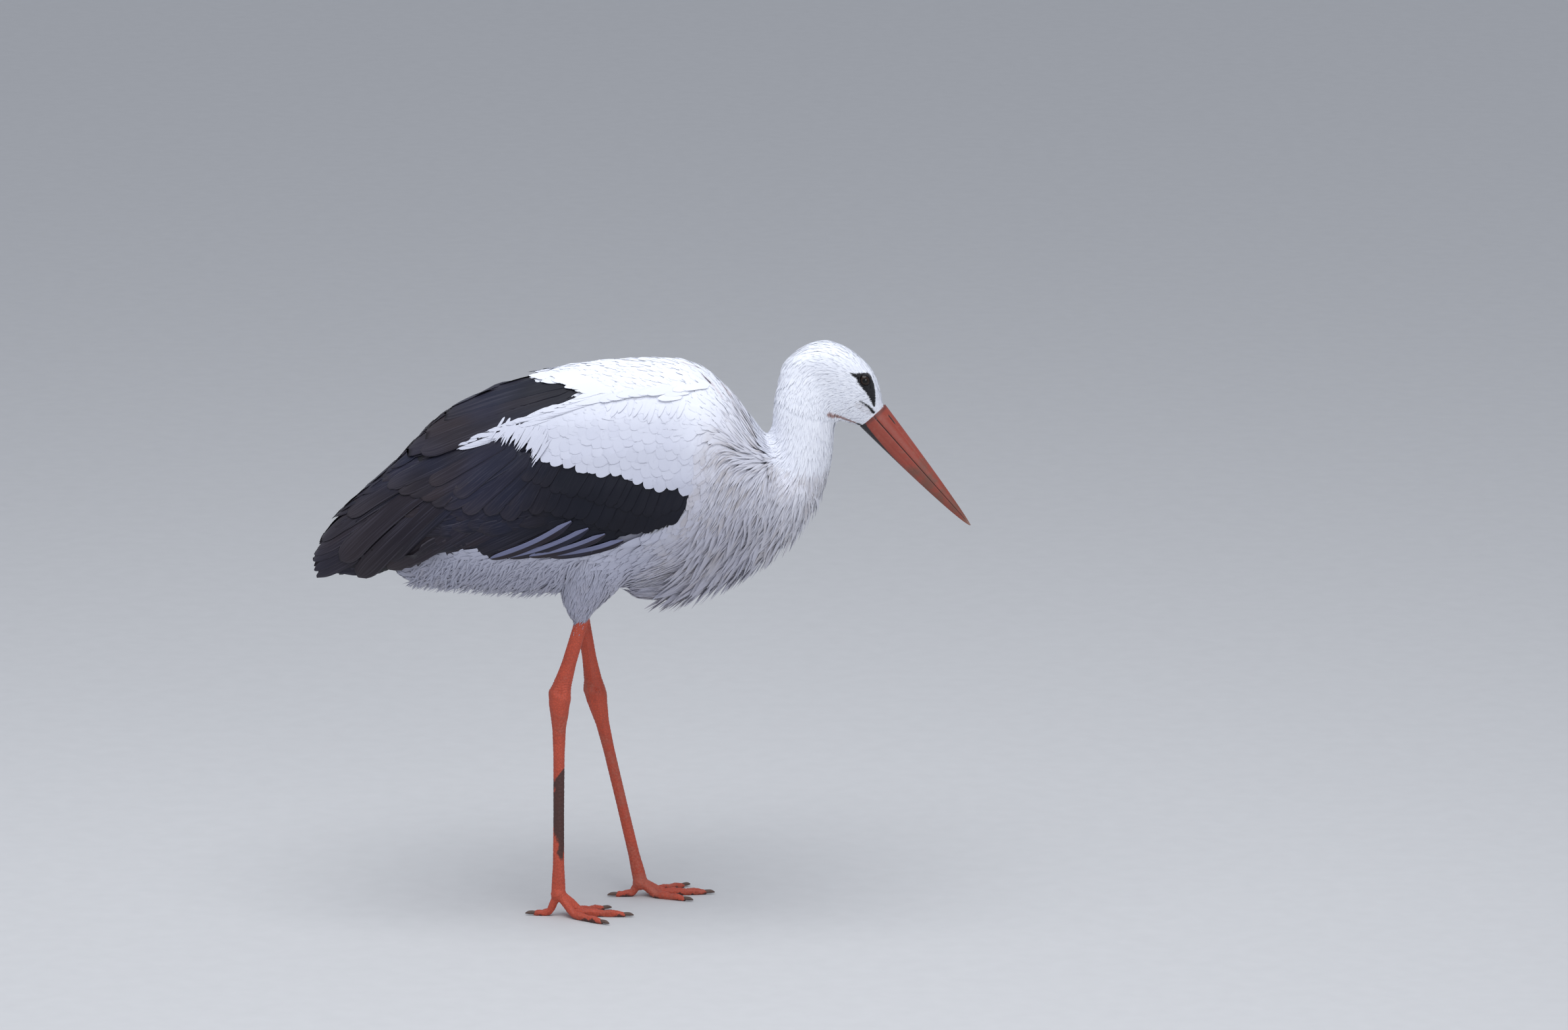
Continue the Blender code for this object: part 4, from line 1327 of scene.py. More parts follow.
# %% Head feathers
BARE_LID = 7.6 * MM
rng = np.random.default_rng(21)
behind, _ = head_place(coat_centres)
on_face = among(face_owner, "head")
for eye in EYES.values():
    around = np.hypot(coat_centres[:, 0] - eye[0], coat_centres[:, 2] - eye[2])
    on_face &= ~((around < BARE_LID) & (coat_centres[:, 1] * eye[1] > 0))
on_face &= behind > 0.5
head_gap = np.interp(behind, (0, 30, 60, 110), (1.0, 1.15, 1.35, 1.5))
roots = strewn(rng, on_face, head_gap)
root_behind, _ = head_place(roots)
head_length = np.interp(root_behind, (0, 20, 60, 110), (2.6, 5, 8.5, 12))
head_width = np.interp(root_behind, (0, 60), (0.7, 1.3))
head_mesh = feathers(
    "head_feathers", roots, rng, length=head_length, half_width=head_width, outline=POINTED,
    depth=np.interp(root_behind, (0, 40), (0.3, 0.7)), lift=np.interp(root_behind, (0, 60), (0.1, 0.15)),
    marks={}, columns=3, camber=0.08, tilt=0.05, wander=0.08, softness=0.95, painted=True,
)
show("head_feathers", head_mesh, white_material)

# %% [markdown]
# ## Neck
#
# Down the neck the feathers are narrow and silky, and lie so close that it looks like one smooth
# sleeve. They lengthen towards the breast and begin to stand off there.

# %% Neck feathers
rng = np.random.default_rng(22)
on_neck = among(face_owner, "neck_upper", "neck_lower")
roots = strewn(rng, on_neck, np.interp(coat_centres[:, 2] / MM, (440, 540), (1.9, 1.45)))
low_neck = np.interp(roots[:, 2] / MM, (440, 500, 560), (1, 0.4, 0))
neck_mesh = feathers(
    "neck_feathers", roots, rng, length=16 + 16 * low_neck, half_width=1.25 + 0.2 * low_neck,
    outline=POINTED, depth=1.4, lift=0.2 + 1.5 * low_neck, marks=marked(roots) | {"blush": 0.0},
    columns=3, camber=0.12, wander=0.08, tilt=0.06, softness=0.92,
)
show("neck_feathers", neck_mesh, white_material)

# %% [markdown]
# ## Breast
#
# Long pointed plumes hang from the lower neck and breast, and stand apart at their tips. They are
# lances, and cling to the coat a little less with each row, so that their ends hang free.

# %% Breast plumes
rng = np.random.default_rng(23)
x, z = coat_centres[:, 0] / MM, coat_centres[:, 2] / MM
shaggy = np.clip((x - 0.42 * (z - 420) - 22) / 50, 0, 1)
on_ruff = among(face_owner, "breast") & (shaggy > 0) & ((z < 520) | (x > 110))
on_ruff |= among(face_owner, "neck_lower") & (z < 470)
roots = strewn(rng, on_ruff, 2.7)
hanging = np.clip((460 - roots[:, 2] / MM) / 70, 0, 1)
ruff_mesh = feathers(
    "breast_plumes", roots, rng, length=34 + 24 * hanging, half_width=1.7 + 0.6 * hanging,
    outline=LANCE, depth=3.6, lift=0.6 + 1.8 * hanging, marks=marked(roots), columns=3, camber=0.2,
    wander=0.10, cling=0.94, tilt=0.12, softness=0.8,
)
show("breast_plumes", ruff_mesh, white_material)

# %% [markdown]
# ## Shoulders and back
#
# The shoulders and back carry broad flat feathers that close into a smooth surface. Where they come
# near the black feathers of the wing they are made shorter, so that white tips end on white ground.

# %% Body feathers
rng = np.random.default_rng(24)
white_face = ~in_black(coat_centres)
white_body = white_face & among(face_owner, "breast", "trunk", "rump", *WINGS)
upper = coat.face_normals[:, 2] > -0.1
high = (z > 455) | (x > -60)
on_back = white_body & high & upper & ~on_ruff
on_back |= white_body & (x > -40) & (z > 430) & ~on_ruff
roots, lengths = clear_of_black(strewn(rng, on_back, 4.2), 27)
back_mesh = feathers(
    "back_feathers", roots, rng, length=lengths, half_width=4.4, outline=ROUNDED, depth=2.0, lift=0.3,
    marks={}, columns=5, camber=0.05, fray=0.10, wander=0.08, tilt=0.03, back=0.5, softness=0.93,
    painted=True,
)
show("back_feathers", back_mesh, white_material)

# %% [markdown]
# ## Belly and flanks
#
# Belly feathers are soft, with loose barbs, and don't close up as those of the back do. Their ends
# are left ragged, and they stand a little proud of each other.

# %% Belly and flank feathers
rng = np.random.default_rng(25)
on_belly = white_face & among(face_owner, *BODY[3:]) & ~on_back & ~on_ruff
roots, lengths = clear_of_black(strewn(rng, on_belly, 3.9), 28)
belly_mesh = feathers(
    "belly_feathers", roots, rng, length=lengths, half_width=3.3, outline=DOWNY, depth=2.4, lift=0.9,
    marks=marked(roots), columns=5, camber=0.08, fray=0.16, wander=0.10, cling=0.97, tilt=0.05,
    softness=0.9,
)
show("belly_feathers", belly_mesh, white_material)

# %% [markdown]
# ## Thighs
#
# The thigh's feathers are short and point down the leg. They let go of the coat early, so the ends
# of the lowest hang over the bare shank like a cuff.

# %% Thigh feathers
rng = np.random.default_rng(26)
on_thigh = among(face_owner, *THIGHS)
roots = strewn(rng, on_thigh, 2.3)
thigh_mesh = feathers(
    "thigh_feathers", roots, rng, length=20, half_width=1.5, outline=POINTED, depth=2.4, lift=0.8,
    marks=marked(roots), columns=3, camber=0.12, wander=0.12, cling=0.8, tilt=0.05, lie=thigh_lie,
    softness=0.88,
)
show("thigh_feathers", thigh_mesh, white_material)

# %% [markdown]
# ## Loose ends
#
# A bird at rest is never quite smooth. Down shows as a thin fringe along the belly's lower edge, and
# some plumes of the breast hang out in locks. Both are strewn again over the feathers already there.

# %% Hanging plumes and fringes
rng = np.random.default_rng(27)
facing_down = (coat.face_normals[:, 2] < -0.15) & (coat.face_normals[:, 2] > -0.97)
low_edge = (x < -35) & (x > -238) & (z < 398)
in_fringe = among(face_owner, "trunk", "rump") & facing_down & low_edge & white_face
roots = strewn(rng, in_fringe, 3.4)
fringe_mesh = feathers(
    "belly_fringe", roots, rng, length=17, half_width=1.3, outline=LANCE, depth=1.2, lift=2.2,
    marks=marked(roots), columns=3, camber=0.2, wander=0.3, cling=0.35, lie=fringe_lie, softness=0.9,
)
show("belly_fringe", fringe_mesh, white_material)
in_locks = on_ruff & (((z < 455) & (x > -15)) | (x > 165)) & (z < 505)
roots = strewn(rng, in_locks, 6.0)
low = np.clip((450 - roots[:, 2] / MM) / 80, 0, 1)
locks_mesh = feathers(
    "hanging_plumes", roots, rng, length=26 + 10 * low, half_width=1.9 + 1.5 * low, outline=LANCE,
    depth=3.0, lift=2.0 + 2.2 * low, marks=marked(roots), columns=5, camber=0.25, wander=0.16,
    cling=0.35, tilt=0.25, lie=hanging_lie, softness=0.7,
)
show("hanging_plumes", locks_mesh, white_material)

# %% [markdown]
# ## The big feathers of the wing
#
# A long feather has a narrow root, nearly parallel sides and a rounded end. Its shaft doesn't run in
# the middle: the vane in front of it is narrower. The points across a feather stand closer together
# there, so that the shaft can be a thin ridge.

# %% Outline and shaft
SHAFT = -0.12
QUILL_SPREAD = np.array((-1, -0.82, -0.58, -0.34, -0.2, SHAFT, -0.04, 0.12, 0.36, 0.62, 0.84, 1))


def quill_outline(share, tip):
    """Half width along a feather that rounds off over the last part of its length."""
    base = np.clip(share / 0.14, 0.12, 1) ** 0.6
    end = np.clip((share - 1 + tip) / tip, 0, 1)
    return base * np.sqrt(np.clip(1 - end**2.2, 0.004, 1))


def along_line(places, count):
    """Evenly spaced points on a line through places."""
    places = np.array(places, float)
    steps = np.concatenate([[0], np.cumsum(np.linalg.norm(np.diff(places, axis=0), axis=1))])
    marks = np.linspace(0, steps[-1], count)
    return np.stack([np.interp(marks, steps, places[:, k]) for k in range(places.shape[1])], -1)


print("long feathers are", len(QUILL_SPREAD), "points wide")

# %% [markdown]
# ## Feathers laid one by one
#
# A folded wing is a stack of long feathers. Each is drawn from the side, by the places of its root
# and tip. Rays sent in from the side find where these places lie on the coat, and the feather is laid
# there at its own level in the stack. The inner feathers lie over the outer ones, like the slats of a
# blind. Some vanes are split, as old feathers are.

# %% Long feathers
ASIDE = 200
print("rays start", ASIDE, "mm from the bird's middle")


def quills(side, roots, tips, rng, *, half_width, levels, tip=0.16, rows=22, sag=0.0,
           spread=QUILL_SPREAD, tilt=0.05, ridge=0.22, splits=1.5, frost=0.0, fray=0.0, scatter=1.2,
           camber=0.04, slant=0.0, wrap=False):
    """Feathers given by x, z of root and tip in millimetres, on one side of the bird."""
    count, columns = len(roots), len(spread)
    roots, tips = (np.array(ends, float) + rng.normal(0, scatter, (count, 2)) for ends in (roots, tips))
    even = np.linspace(0, 1, rows)
    share = (1 - (1 - even) ** (1 + tip))[None, :, None]
    line = tips - roots
    square = np.stack([-line[:, 1], line[:, 0]], -1)
    path = roots[:, None] + line[:, None] * share + sag * square[:, None] * 4 * share * (1 - share)
    aside = np.full(path.shape[:2], side * ASIDE)
    starts = np.stack([path[..., 0], aside, path[..., 1] + slant * ASIDE], -1) * MM
    places = coat.seen(starts, (0, -side, -slant))
    _, normals = coat.nearest(places)
    normals = unit(normals + np.roll(normals, 1, 1) + np.roll(normals, -1, 1))
    ways = flat_on(np.gradient(places, axis=1), normals)
    across = unit(np.cross(normals, ways))
    spread = spread if side < 0 else -spread[::-1]
    half = half_width * MM * rng.uniform(0.92, 1.08, (count, 1)) * quill_outline(share[0, :, 0], tip)
    notch = np.ones((count, rows, columns))
    for feather, end in zip(range(count), rng.integers(0, 2, count)):
        for _ in range(rng.poisson(splits)):
            row = rng.integers(rows // 3, rows - 1)
            notch[feather, row, -end] *= rng.uniform(0.78, 0.94)
    sideways = half[..., None] * spread * notch
    points = places[:, :, None] + across[:, :, None] * sideways[..., None]
    feet, bowed = coat.nearest(points)
    drop = ((points - feet) * normals[:, :, None]).sum(-1)
    first, last = (np.broadcast_to(level, count)[:, None] for level in levels)
    level = (first + (last - first) * share[..., 0] ** 0.8 + rng.normal(0, 0.08, (count, 1))) * MM
    shaft = ridge * MM * np.exp(-(((spread + side * SHAFT) / 0.05) ** 2)) * (1 - 0.7 * share)
    height = level[..., None] + half[..., None] * camber * (1 - spread**2) + shaft
    height = height - side * tilt * sideways
    if wrap:
        points = feet + bowed * height[..., None]
    else:
        points = points + normals[:, :, None] * (height - drop)[..., None]
    jag = not_hollow(rng.uniform(-1, 0.3, (count, 1, columns)) * fray * share**6, spread)
    jag = jag * np.linalg.norm(line, axis=-1)[:, None, None] * MM
    points = points + ways[:, :, None] * jag[..., None]
    marks = {"chance": rng.uniform(0, 1, count), "frost": painted_shade_amount(points) if frost is None else frost}
    return batch_of(points, normals, share[0, :, 0], side * spread, marks, places[:, 0])


# %% [markdown]
# ## Black feathers
#
# Each wing has ten groups: the primaries at the wing's tip, the secondaries in front of them with
# four frosted edges below, two rows of black coverts, and the long tertials, which lie on top. Between
# and under them shorter black feathers are strewn, so that no pale skin shows through a gap.


# %% Black feathers of each wing
def black_groups(side, rng):
    """Each group in turn, from the lowest of the stack to the highest."""

    def lay(roots, tips, **shape):
        return quills(side, roots, tips, rng, **shape)

    yield lay(along_line(((-228, 440), (-232, 478)), 6),
              along_line(((-346, 362), (-352, 378), (-342, 405)), 6),
              half_width=9, levels=(-2.4, np.linspace(-1.6, -0.9, 6)), tip=0.4, rows=30, sag=-0.02)
    yield lay(along_line(((-10, 436), (-120, 486)), 9), along_line(((-140, 409), (-268, 378)), 9),
              half_width=12, levels=(-2.6, -1.2), tip=0.10, rows=30, sag=0.02)
    yield lay(along_line(((-18, 420), (-72, 441)), 4), along_line(((-96, 402), (-158, 398)), 4),
              half_width=4.5, levels=(-0.4, 1.3), tip=0.25, rows=26, sag=0.05, frost=1.0, tilt=0.10,
              scatter=0.5)
    yield lay(along_line(((-196, 508), (-206, 490)), 4), along_line(((-346, 398), (-330, 412)), 4),
              half_width=8.5, levels=(-1.8, -0.6), tip=0.3, rows=30, sag=-0.03)
    yield lay(((-150, 498), (-153, 505), (-160, 516), (-152, 523)),
              ((-268, 390), (-300, 367), (-319, 386), (-311, 431)), half_width=12.5,
              levels=(-1.6, (-0.6, -0.1, 0.3, 0.6)), tip=0.11, rows=34, sag=-0.035, scatter=0.5)
    yield lay(along_line(((-120, 505), (-150, 532)), 6), along_line(((-208, 452), (-268, 464)), 6),
              half_width=11, levels=(-0.8, np.linspace(0.3, 0.8, 6)), tip=0.16, rows=28)
    yield lay(((-98, 500), (-106, 506), (-116, 512), (-128, 520), (-136, 527)),
              ((-144, 443), (-163, 446), (-186, 447), (-196, 465), (-222, 474)), half_width=10.5,
              levels=(-0.6, (0.6, 0.7, 0.8, 0.9, 1.0)), tip=0.15, rows=26, scatter=0.6)
    yield lay(along_line(((50, 482), (38, 486), (0, 494), (-40, 503), (-80, 515), (-104, 524)), 15),
              along_line(((27, 438), (6, 428), (-24, 430), (-58, 441), (-95, 448), (-138, 452)), 15),
              half_width=9.5, levels=(-2.2, 0.5), tip=0.2, rows=22)
    yield lay(along_line(((50, 492), (30, 494), (-10, 500), (-50, 508), (-95, 524)), 17),
              along_line(((34, 452), (10, 446), (-32, 458), (-75, 468), (-122, 482)), 17),
              half_width=7.5, levels=(-2.4, 0.7), tip=0.22, rows=16)
    yield lay(((-58, 586), (-62, 580), (-64, 573), (-62, 566)),
              ((-214, 536), (-240, 515), (-254, 497), (-232, 503)), half_width=14,
              levels=(-0.4, (0.3, 0.8, 1.3, 1.8)), tip=0.14, rows=34, sag=-0.03, scatter=0.5, wrap=True)


rng = np.random.default_rng(28)
black_faces = in_black(coat_centres, 0.35) & (x > -290) & upper
roots = strewn(rng, black_faces, 9)
between = (np.abs(roots[:, 1]) < 30 * MM) & (roots[:, 0] < -90 * MM)
under_mesh = feathers(
    "black_under_feathers", roots, rng, length=46, half_width=7, outline=ROUNDED,
    depth=np.where(between, 2.0, 3.2), lift=np.where(between, -0.2, -1.6), marks={}, columns=5,
    camber=0.05, wander=0.06, tilt=0.02, back=0.5, softness=0.5,
)
show("black_under_feathers", under_mesh, black_material)
for side_name, side in SIDES.items():
    rng = np.random.default_rng(31 + side)
    wing_mesh = feather_mesh(f"wing_feathers_{side_name}", list(black_groups(side, rng)), softness=0.3)
    show(f"wing_feathers_{side_name}", wing_mesh, black_material)

# %% [markdown]
# ## Tail
#
# A stork's tail has twelve white feathers. When it is closed they lie nearly on each other, with the
# middle pair on top. It is short, and the folded wings almost hide it.


# %% Tail fan
def tail_fan(rng, rows=16, count=12):
    """Twelve white feathers, the middle pair on top, spread a little towards their ends."""
    tail = Surface(melted(["tail"], 2.5 * MM, 2))
    low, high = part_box("tail")
    place = np.linspace(-1, 1, count)
    share = (1 - (1 - np.linspace(0, 1, rows)) ** 1.3)[None, :, None]
    start = np.stack([np.full(count, high[0] + 28 * MM), place * 12 * MM], -1)[:, None]
    end = np.stack([low[0] + 6 * MM * place**2, place * 19 * MM], -1)[:, None]
    path = start + (end - start) * share
    places = tail.seen(np.concatenate([path, np.ones_like(path[..., :1])], -1), (0, 0, -1))
    places[..., 2] = places[:, -4:, 2].mean() + (places[..., 0] - low[0]) * 0.35
    even = np.ones(places.shape[:2])
    normals = unit(np.stack([0.3 * even, 0.25 * places[..., 1] / (20 * MM), even], -1))
    ways = flat_on(np.gradient(places, axis=1), normals)
    across = unit(np.cross(normals, ways))
    half = 7.5 * MM * quill_outline(share[0, :, 0], 0.18)[None, :]
    level = (0.9 - 1.8 * np.abs(place))[:, None] * MM
    spread = QUILL_SPREAD
    shaft = 0.2 * MM * np.exp(-(((spread - SHAFT) / 0.05) ** 2))
    points = places[:, :, None] + across[:, :, None] * (half[..., None] * spread)[..., None]
    points = points + normals[:, :, None] * (level[..., None] + shaft)[..., None]
    marks = {"chance": rng.uniform(0, 1, count)}
    return batch_of(points, normals, share[0, :, 0], spread, marks, places[:, 0])


tail_mesh = feather_mesh("tail_feathers", [tail_fan(np.random.default_rng(29))], softness=0.3)
show("tail_feathers", tail_mesh, white_material)

# %% [markdown]
# ## White coverts and the edge of the back
#
# Small white feathers cover the front of the folded wing in rows, each row over the roots of the
# next. The last row ends in round scallops against the black. Above them the long shoulder feathers
# reach back along the wing and fray out over it.

# %% White rows
COVERT_SPREAD = np.array((-1, -0.7, -0.35, 0, 0.35, 0.7, 1))
TOP_LINE = ((52, 545), (28, 566), (-24, 566), (-75, 558), (-112, 547))
SCALLOPS = (
    (44, 468), (28, 474), (8, 478), (-20, 488), (-60, 491), (-84, 498), (-107, 506), (-122, 522),
    (-146, 531),
)


def white_coverts(side, rng, rows=9, per_row=17):
    """Rows of coverts between two lines, with every other row set between the feathers of the last."""
    for row in range(rows):
        share = row / (rows - 1)
        tips = along_line(TOP_LINE, per_row) * (1 - share) + along_line(SCALLOPS, per_row) * share
        if row % 2:
            tips = (tips[1:] + tips[:-1]) / 2
        back = np.linspace(0, 1, len(tips))[:, None]
        way = unit((1 - back) * (-0.34, -0.94) + back * (-0.88, -0.47))
        yield quills(side, tips - way * 26, tips, rng, half_width=8.0,
                     levels=(-1.0, 0.2 + 0.6 * share), tip=0.55, rows=13, spread=COVERT_SPREAD,
                     ridge=0, splits=0.5, fray=0.05, scatter=1.5, camber=0.03, tilt=0.0, frost=None)


print("coverts end at", len(SCALLOPS), "places, from the wing's bend to its back")

# %% [markdown]
# ## The shoulder's ragged edge
#
# Long white shoulder feathers lap over the wing. Their edge, the crease above it and the small pleats
# are rows of narrow feathers, each row drawn by the line on which its tips end.

# %% Shoulder fringe and white pieces
LAP_EDGE = (
    (-66, 553), (-99, 540), (-115, 535.5), (-131, 527.5), (-141, 526), (-157, 518.5), (-170, 513.5),
    (-188, 506),
)
CREASE = ((-44, 551), (-31, 553), (-10, 557), (8, 558), (22, 550), (30, 560), (46, 562))
PLEATS = ((-36, 538), (-18, 534), (2, 532), (22, 532), (42, 536))
FRAYED_EDGE = ((-150, 515), (-141, 511), (-133, 508.5), (-122, 503), (-112, 500), (-107, 488))
TONGUE_EDGE = ((-66, 569), (-74, 575), (-94, 579), (-118, 580))


def shoulder_fringe(side, rng):
    """The long white shoulder feathers that end in a ragged tongue over the black."""
    shape = {"spread": COVERT_SPREAD, "ridge": 0, "frost": None}

    def row(line, to_root, to_tip, **more):
        return quills(side, line + to_root, line + to_tip, rng, **shape, **more)

    edge, crease, pleats = along_line(LAP_EDGE, 18), along_line(CREASE, 10), along_line(PLEATS, 11)
    yield row(edge, (36, 7), (-3, -7), half_width=4.6, levels=(-0.5, 1.9), tip=0.8, rows=12,
              splits=1, fray=0.10, scatter=0.8, camber=0.1, slant=SLANT)
    yield row(edge, (36, 13), (-3, -2), half_width=3.6, levels=(-0.5, 2.4), tip=0.8, rows=12,
              splits=2, fray=0.10, scatter=0.8, camber=0.1, slant=SLANT)
    yield row(crease, (27, 7), (0, 0), half_width=4.5, levels=(0.2, 2.6), tip=0.6, rows=12,
              splits=0.5, fray=0.06, scatter=0.8, camber=0.15, slant=SLANT)
    yield row(pleats, (6, 17), (0, 0), half_width=2.9, levels=(0.1, 1.0), tip=0.8, rows=10,
              splits=0.5, fray=0.08, scatter=2.2, camber=0.12, slant=SLANT)
    yield row(along_line(FRAYED_EDGE, 34), (12, 22), (-3, -6), half_width=1.7, levels=(0.6, 2.6),
              tip=0.9, rows=9, splits=0, fray=0.2, scatter=2.2, camber=0.3, slant=SLANT)
    yield row(along_line(TONGUE_EDGE, 9), (42, 6), (0, 0), half_width=6.5, levels=(-1.5, 2.2),
              tip=0.5, rows=12, splits=1, fray=0.12, scatter=1.5, camber=0.1, wrap=True)


for side_name, side in SIDES.items():
    rng = np.random.default_rng(41 + side)
    batches = [*white_coverts(side, rng), *shoulder_fringe(side, rng)]
    coverts_mesh = feather_mesh(f"white_coverts_{side_name}", batches, softness=0.9)
    show(f"white_coverts_{side_name}", coverts_mesh, white_material)

# %% [markdown]
# ## The bill
#
# The bill is two long horny sheaths that meet along the gape. Each is lofted from sections along the
# bill: the upper has a rounded ridge with a slit-like nostril in a shallow groove, and the lower has
# a keel. Near the gape both turn in a little, which draws the dark line between them.

# %% Mandibles
BILL_LENGTH = 159 * MM
BILL_ROOT = 9 * MM
BLUNT = 0.3 * MM
SEAM = 0.12 * MM
NOSTRIL_AHEAD = 16.5
NOSTRIL_REACH = 6.5
ROUNDNESS = 2 / 1.9
SIDEWAYS = np.array((0, 1, 0))


def bill_half_sizes(ahead):
    """Height over and depth under the axis, and half width, at a distance ahead of the base."""
    left = np.clip(1 - np.maximum(ahead, 0) / BILL_LENGTH, 0, 1)
    size = np.where(ahead < 0, 0.86, 1)
    sizes = 16.2 * left**0.75, 19.3 * left**0.64, 11 * left**0.85
    return [np.maximum(value * MM * size, 0.5 * MM) for value in sizes]


def mandible(name, upper, stations=170, around=84):
    """One sheath of the bill: half rounds along it, with a groove, and a nostril in the upper one."""
    share = np.linspace(0, 1, stations) ** 0.97
    ahead = share * (BILL_LENGTH - BLUNT + BILL_ROOT) - BILL_ROOT
    over, under, half = bill_half_sizes(ahead)
    height = over if upper else under
    gape = 1.0 * MM * np.clip(1 - ahead / BILL_LENGTH, 0, 1) - 0.1 * MM
    angle = np.linspace(-1, 1, around) * math.pi / 2
    lean = np.abs(angle) / (math.pi / 2)
    side = np.sign(np.sin(angle)) * np.abs(np.sin(angle)) ** ROUNDNESS
    rise = np.abs(np.cos(angle)) ** ROUNDNESS
    lip = 1 - 0.045 * np.clip((lean - 0.9) / 0.1, 0, 1) ** 2
    y = half[:, None] * side * lip
    z = height[:, None] * rise
    far = np.clip(ahead / BILL_LENGTH, 0, 1)[:, None]
    groove_at, depth = (0.52, 0.35) if upper else (0.66, 0.28)
    groove = np.exp(-(((lean - groove_at) / 0.06) ** 2))
    dent = depth * MM * groove * np.clip(far * 12, 0, 1) * np.clip((0.62 - far) * 5, 0, 1)
    slit = np.zeros((stations, around))
    if upper:
        beyond = (ahead[:, None] / MM - NOSTRIL_AHEAD) / NOSTRIL_REACH
        slit = np.exp(-(((lean - 0.40) / 0.034) ** 2)) * np.exp(-(beyond**4))
        dent = dent + 1.3 * MM * slit
    inward = np.stack([-np.sin(angle), -np.cos(angle)], -1)
    y, z = y + dent * inward[:, 0], np.maximum(z + dent * inward[:, 1], 0)
    up = gape[:, None] + (SEAM + z if upper else -SEAM - z)
    points = BILL_BASE + ahead[:, None, None] * ALONG + up[..., None] * ABOVE + y[..., None] * SIDEWAYS
    points = np.concatenate([points, (points[:, :1] + points[:, -1:]) / 2], 1)
    mesh = mesh_of(name, points.reshape(-1, 3), *vane_faces(1, stations, around))
    put_attribute(mesh, "far", np.repeat(far[:, 0], around + 1))
    put_attribute(mesh, "lean", np.tile(np.append(lean, 1), stations))
    put_attribute(mesh, "slit", np.pad(slit, ((0, 0), (0, 1))).ravel())
    if not upper:
        mesh.flip_normals()
    return mesh


print("bill:", BILL_LENGTH, "m long; half sizes at its base", np.round(bill_half_sizes(0.0), 4))

# %% [markdown]
# ## The bill's horn
#
# Horn is tinted all through, and wears: it is scuffed along the sides, paler at the tip, and dark where
# the sheaths meet and where they leave the face. The nostril's slit is painted nearly black, as painted
# shade. A thin coat gives it a dull shine.


# %% Bill finish
def bill_finish(name, keel_black):
    """Red horn, worn pale at the tip and dark along the gape. The lower sheath's keel is black."""
    horn = Finish(name, {"Roughness": 0.4, "Coat Roughness": 0.3})
    far, lean = horn.attribute("far"), horn.attribute("lean")
    grain = horn.noise(horn.place(), 260, 4)
    patch = horn.noise(horn.place(), 45, 3)
    red = horn.mix(patch, (0.24, 0.034, 0.019), (0.33, 0.056, 0.031))
    scuff = horn.band(grain * 0.6 + patch * 0.5, 0.55, 0.72)
    red = horn.mix(scuff * 0.25, red, (0.30, 0.15, 0.11))
    mud = horn.band(patch + far * 0.35 + grain * 0.2, 0.72, 1.0)
    red = horn.mix(mud * 0.75, red, (0.13, 0.060, 0.040))
    red = horn.mix(horn.band(far, 0.9, 1.0) * 0.6, red, (0.30, 0.15, 0.10))
    red = horn.mix(horn.band(lean, 0.955, 1.0), red, (0.05, 0.015, 0.012))
    base = horn.band(far, 0.012, 0.035)
    red = horn.mix((1 - base) * 0.7, red, (0.10, 0.025, 0.02))
    if keel_black:
        keel = 1 - horn.band(lean + far + grain * 0.04, 0.54, 0.62)
        red = horn.mix(keel, red, (0.014, 0.011, 0.012))
    # Painted shade: the nostril's slit is painted nearly black.
    red = horn.mix(horn.band(horn.attribute("slit"), 0.15, 0.6), red, (0.010, 0.006, 0.006))
    rough = horn.node("MapRange", {}, {"Value": grain, "To Min": 0.34, "To Max": 0.58})
    relief = horn.bump(grain * 0.6 + patch * 0.5, 0.3, 0.5 * MM)
    return horn.done(Base_Color=red, Roughness=rough, Coat_Weight=0.15 * (1 - mud), Normal=relief)


for name, is_upper in (("bill_upper", True), ("bill_lower", False)):
    finish = bill_finish(name + "_horn", not is_upper)
    show(name + "_sheath", mandible(name, is_upper), finish, replaces=[name])

# %% [markdown]
# ## Eyes
#
# The stork's eye is dark brown with a round black pupil, under a clear bulging cornea. The ball is
# turned like a pot: rings around the axis that points out of the head, with the cornea a little
# steeper than the rest. The colour follows the distance from that axis.


# %% Eyeballs
def eyeball(side, rings=40, around=56):
    """A turned ball whose axis points out of the head."""
    eye, out = EYES[side], SIDES[side]
    angle = np.linspace(0.001, math.pi - 0.001, rings)
    bulge = 1 - 0.035 * np.clip(angle / 0.9, 0, 1)
    reach, level = np.sin(angle) * EYE_RADIUS * bulge, np.cos(angle) * EYE_RADIUS * bulge
    turn = np.linspace(0, 2 * math.pi, around, endpoint=False)
    points = np.stack([
        eye[0] + reach[:, None] * np.cos(turn),
        np.broadcast_to(eye[1] + out * level[:, None], (rings, around)),
        eye[2] + reach[:, None] * np.sin(turn),
    ], -1)
    index = np.arange(rings * around).reshape(rings, around)
    following = np.roll(index, -1, 1)
    quads = np.stack([index[:-1], index[1:], following[1:], following[:-1]], -1).reshape(-1, 4)
    caps = np.stack([index[0], index[-1][::-1]])
    mesh = mesh_of(f"eyeball_{side}", points.reshape(-1, 3), quads, caps)
    if out > 0:
        mesh.flip_normals()
    put_attribute(mesh, "around", np.repeat(angle, around))
    return mesh


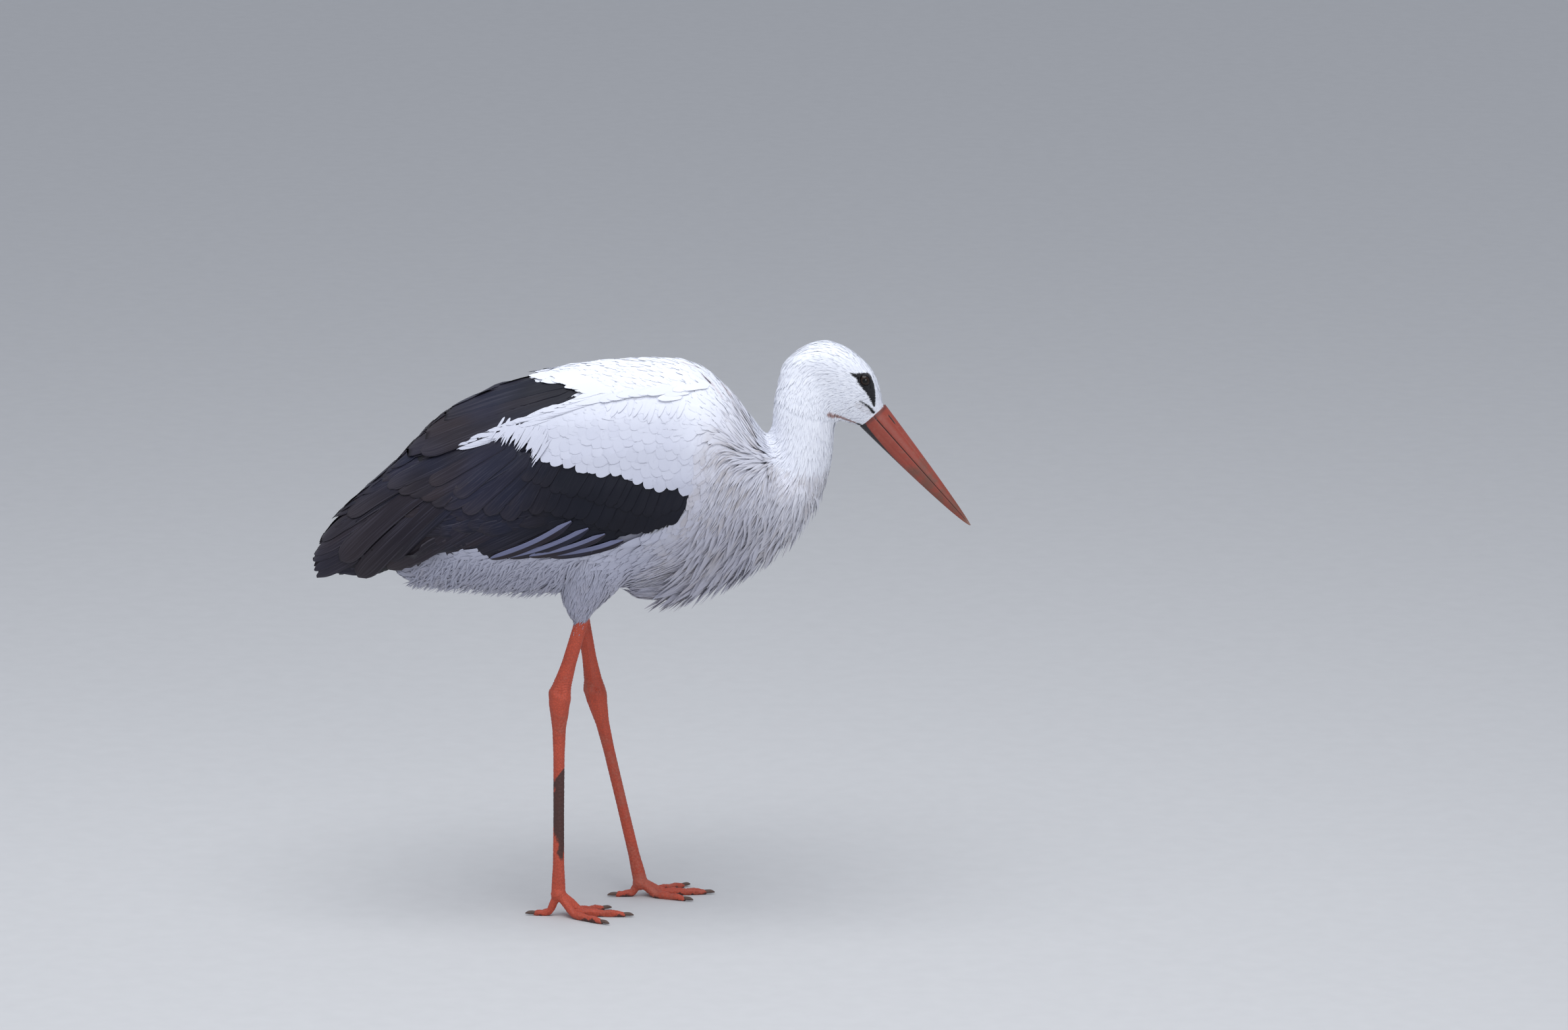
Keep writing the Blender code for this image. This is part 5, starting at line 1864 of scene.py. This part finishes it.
wet = Finish("eye_ball", {
    "Roughness": 0.12, "IOR": 1.4, "Coat Roughness": 0.03, "Specular IOR Level": 0.2,
})
around = wet.attribute("around")
rays = wet.noise(wet.place(), 900, 3)
iris = wet.mix(rays, (0.010, 0.006, 0.004), (0.030, 0.015, 0.009))
iris = wet.mix(wet.band(around, 0.60, 0.72), iris, (0.010, 0.006, 0.005))
iris = wet.mix(1 - wet.band(around, 0.36, 0.40), iris, (0.002, 0.002, 0.002))
eye_material = wet.done(Base_Color=iris, Coat_Weight=0.30 + rays * 0.05)
for side in SIDES:
    show(f"eyeball_{side}", eyeball(side), eye_material, replaces=[f"eye_{side}"])

# %% [markdown]
# ## Claws
#
# A stork's claws are short, blunt and flat like nails. Their solids have few faces, so each is
# rounded by subdivision. That shrinks it, so it is stretched back to the solid's size, and its root is
# pushed into the toe, where a real claw grows from.

# %% Rounded claws
horn = Finish("claw_horn", {"Roughness": 0.55, "Specular IOR Level": 0.35})
lines = horn.noise(horn.place(), 500, 3, stretch=(0.3, 1, 1))
claw_colour = horn.mix(lines, (0.055, 0.036, 0.030), (0.15, 0.095, 0.075))
claw_material = horn.done(Base_Color=claw_colour, Normal=horn.bump(lines, 0.35, 0.3 * MM))
CLAW_ROOT = 4 * MM
CLAWS = [f"claw_{side}_{toe}" for side in SIDES for toe in ("inner", "middle", "outer", "hind")]


def rounded_claw(name):
    """The claw's solid with round edges, as big as before, its root pushed into the toe."""
    shape = bmesh.new()
    shape.from_mesh(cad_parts[name].data)
    bmesh.ops.remove_doubles(shape, verts=shape.verts, dist=1e-6)
    mesh = bpy.data.meshes.new(name)
    shape.to_mesh(mesh)
    shape.free()
    low, high = points_of(mesh).min(0), points_of(mesh).max(0)
    mesh = evaluated(mesh, ("SUBSURF", {"levels": 2}))
    points = points_of(mesh)
    middle, size = (points.max(0) + points.min(0)) / 2, points.max(0) - points.min(0)
    points = (points - middle) * (high - low) / size + (low + high) / 2
    side = name.split("_")[1]
    tarsus = points_of(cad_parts[f"tarsus_{side}"].data)
    foot = tarsus[tarsus[:, 2] < 35 * MM].mean(0)
    way = unit(((low + high) / 2 - foot) * (1, 1, 0))
    along = (points - points.mean(0)) @ way
    rootward = np.clip(1 - (along - along.min()) / (0.45 * (along.max() - along.min())), 0, 1)
    points = points - way * rootward[:, None] * CLAW_ROOT
    mesh.vertices.foreach_set("co", points.astype(np.float32).ravel())
    return mesh


claw_mesh = joined("claws", [rounded_claw(name) for name in CLAWS])
claw_mesh.shade_smooth()
show("claws", claw_mesh, claw_material, replaces=CLAWS)

# %% [markdown]
# ## The size
#
# The solids are the bird's true size, so the plumage should end where they do.
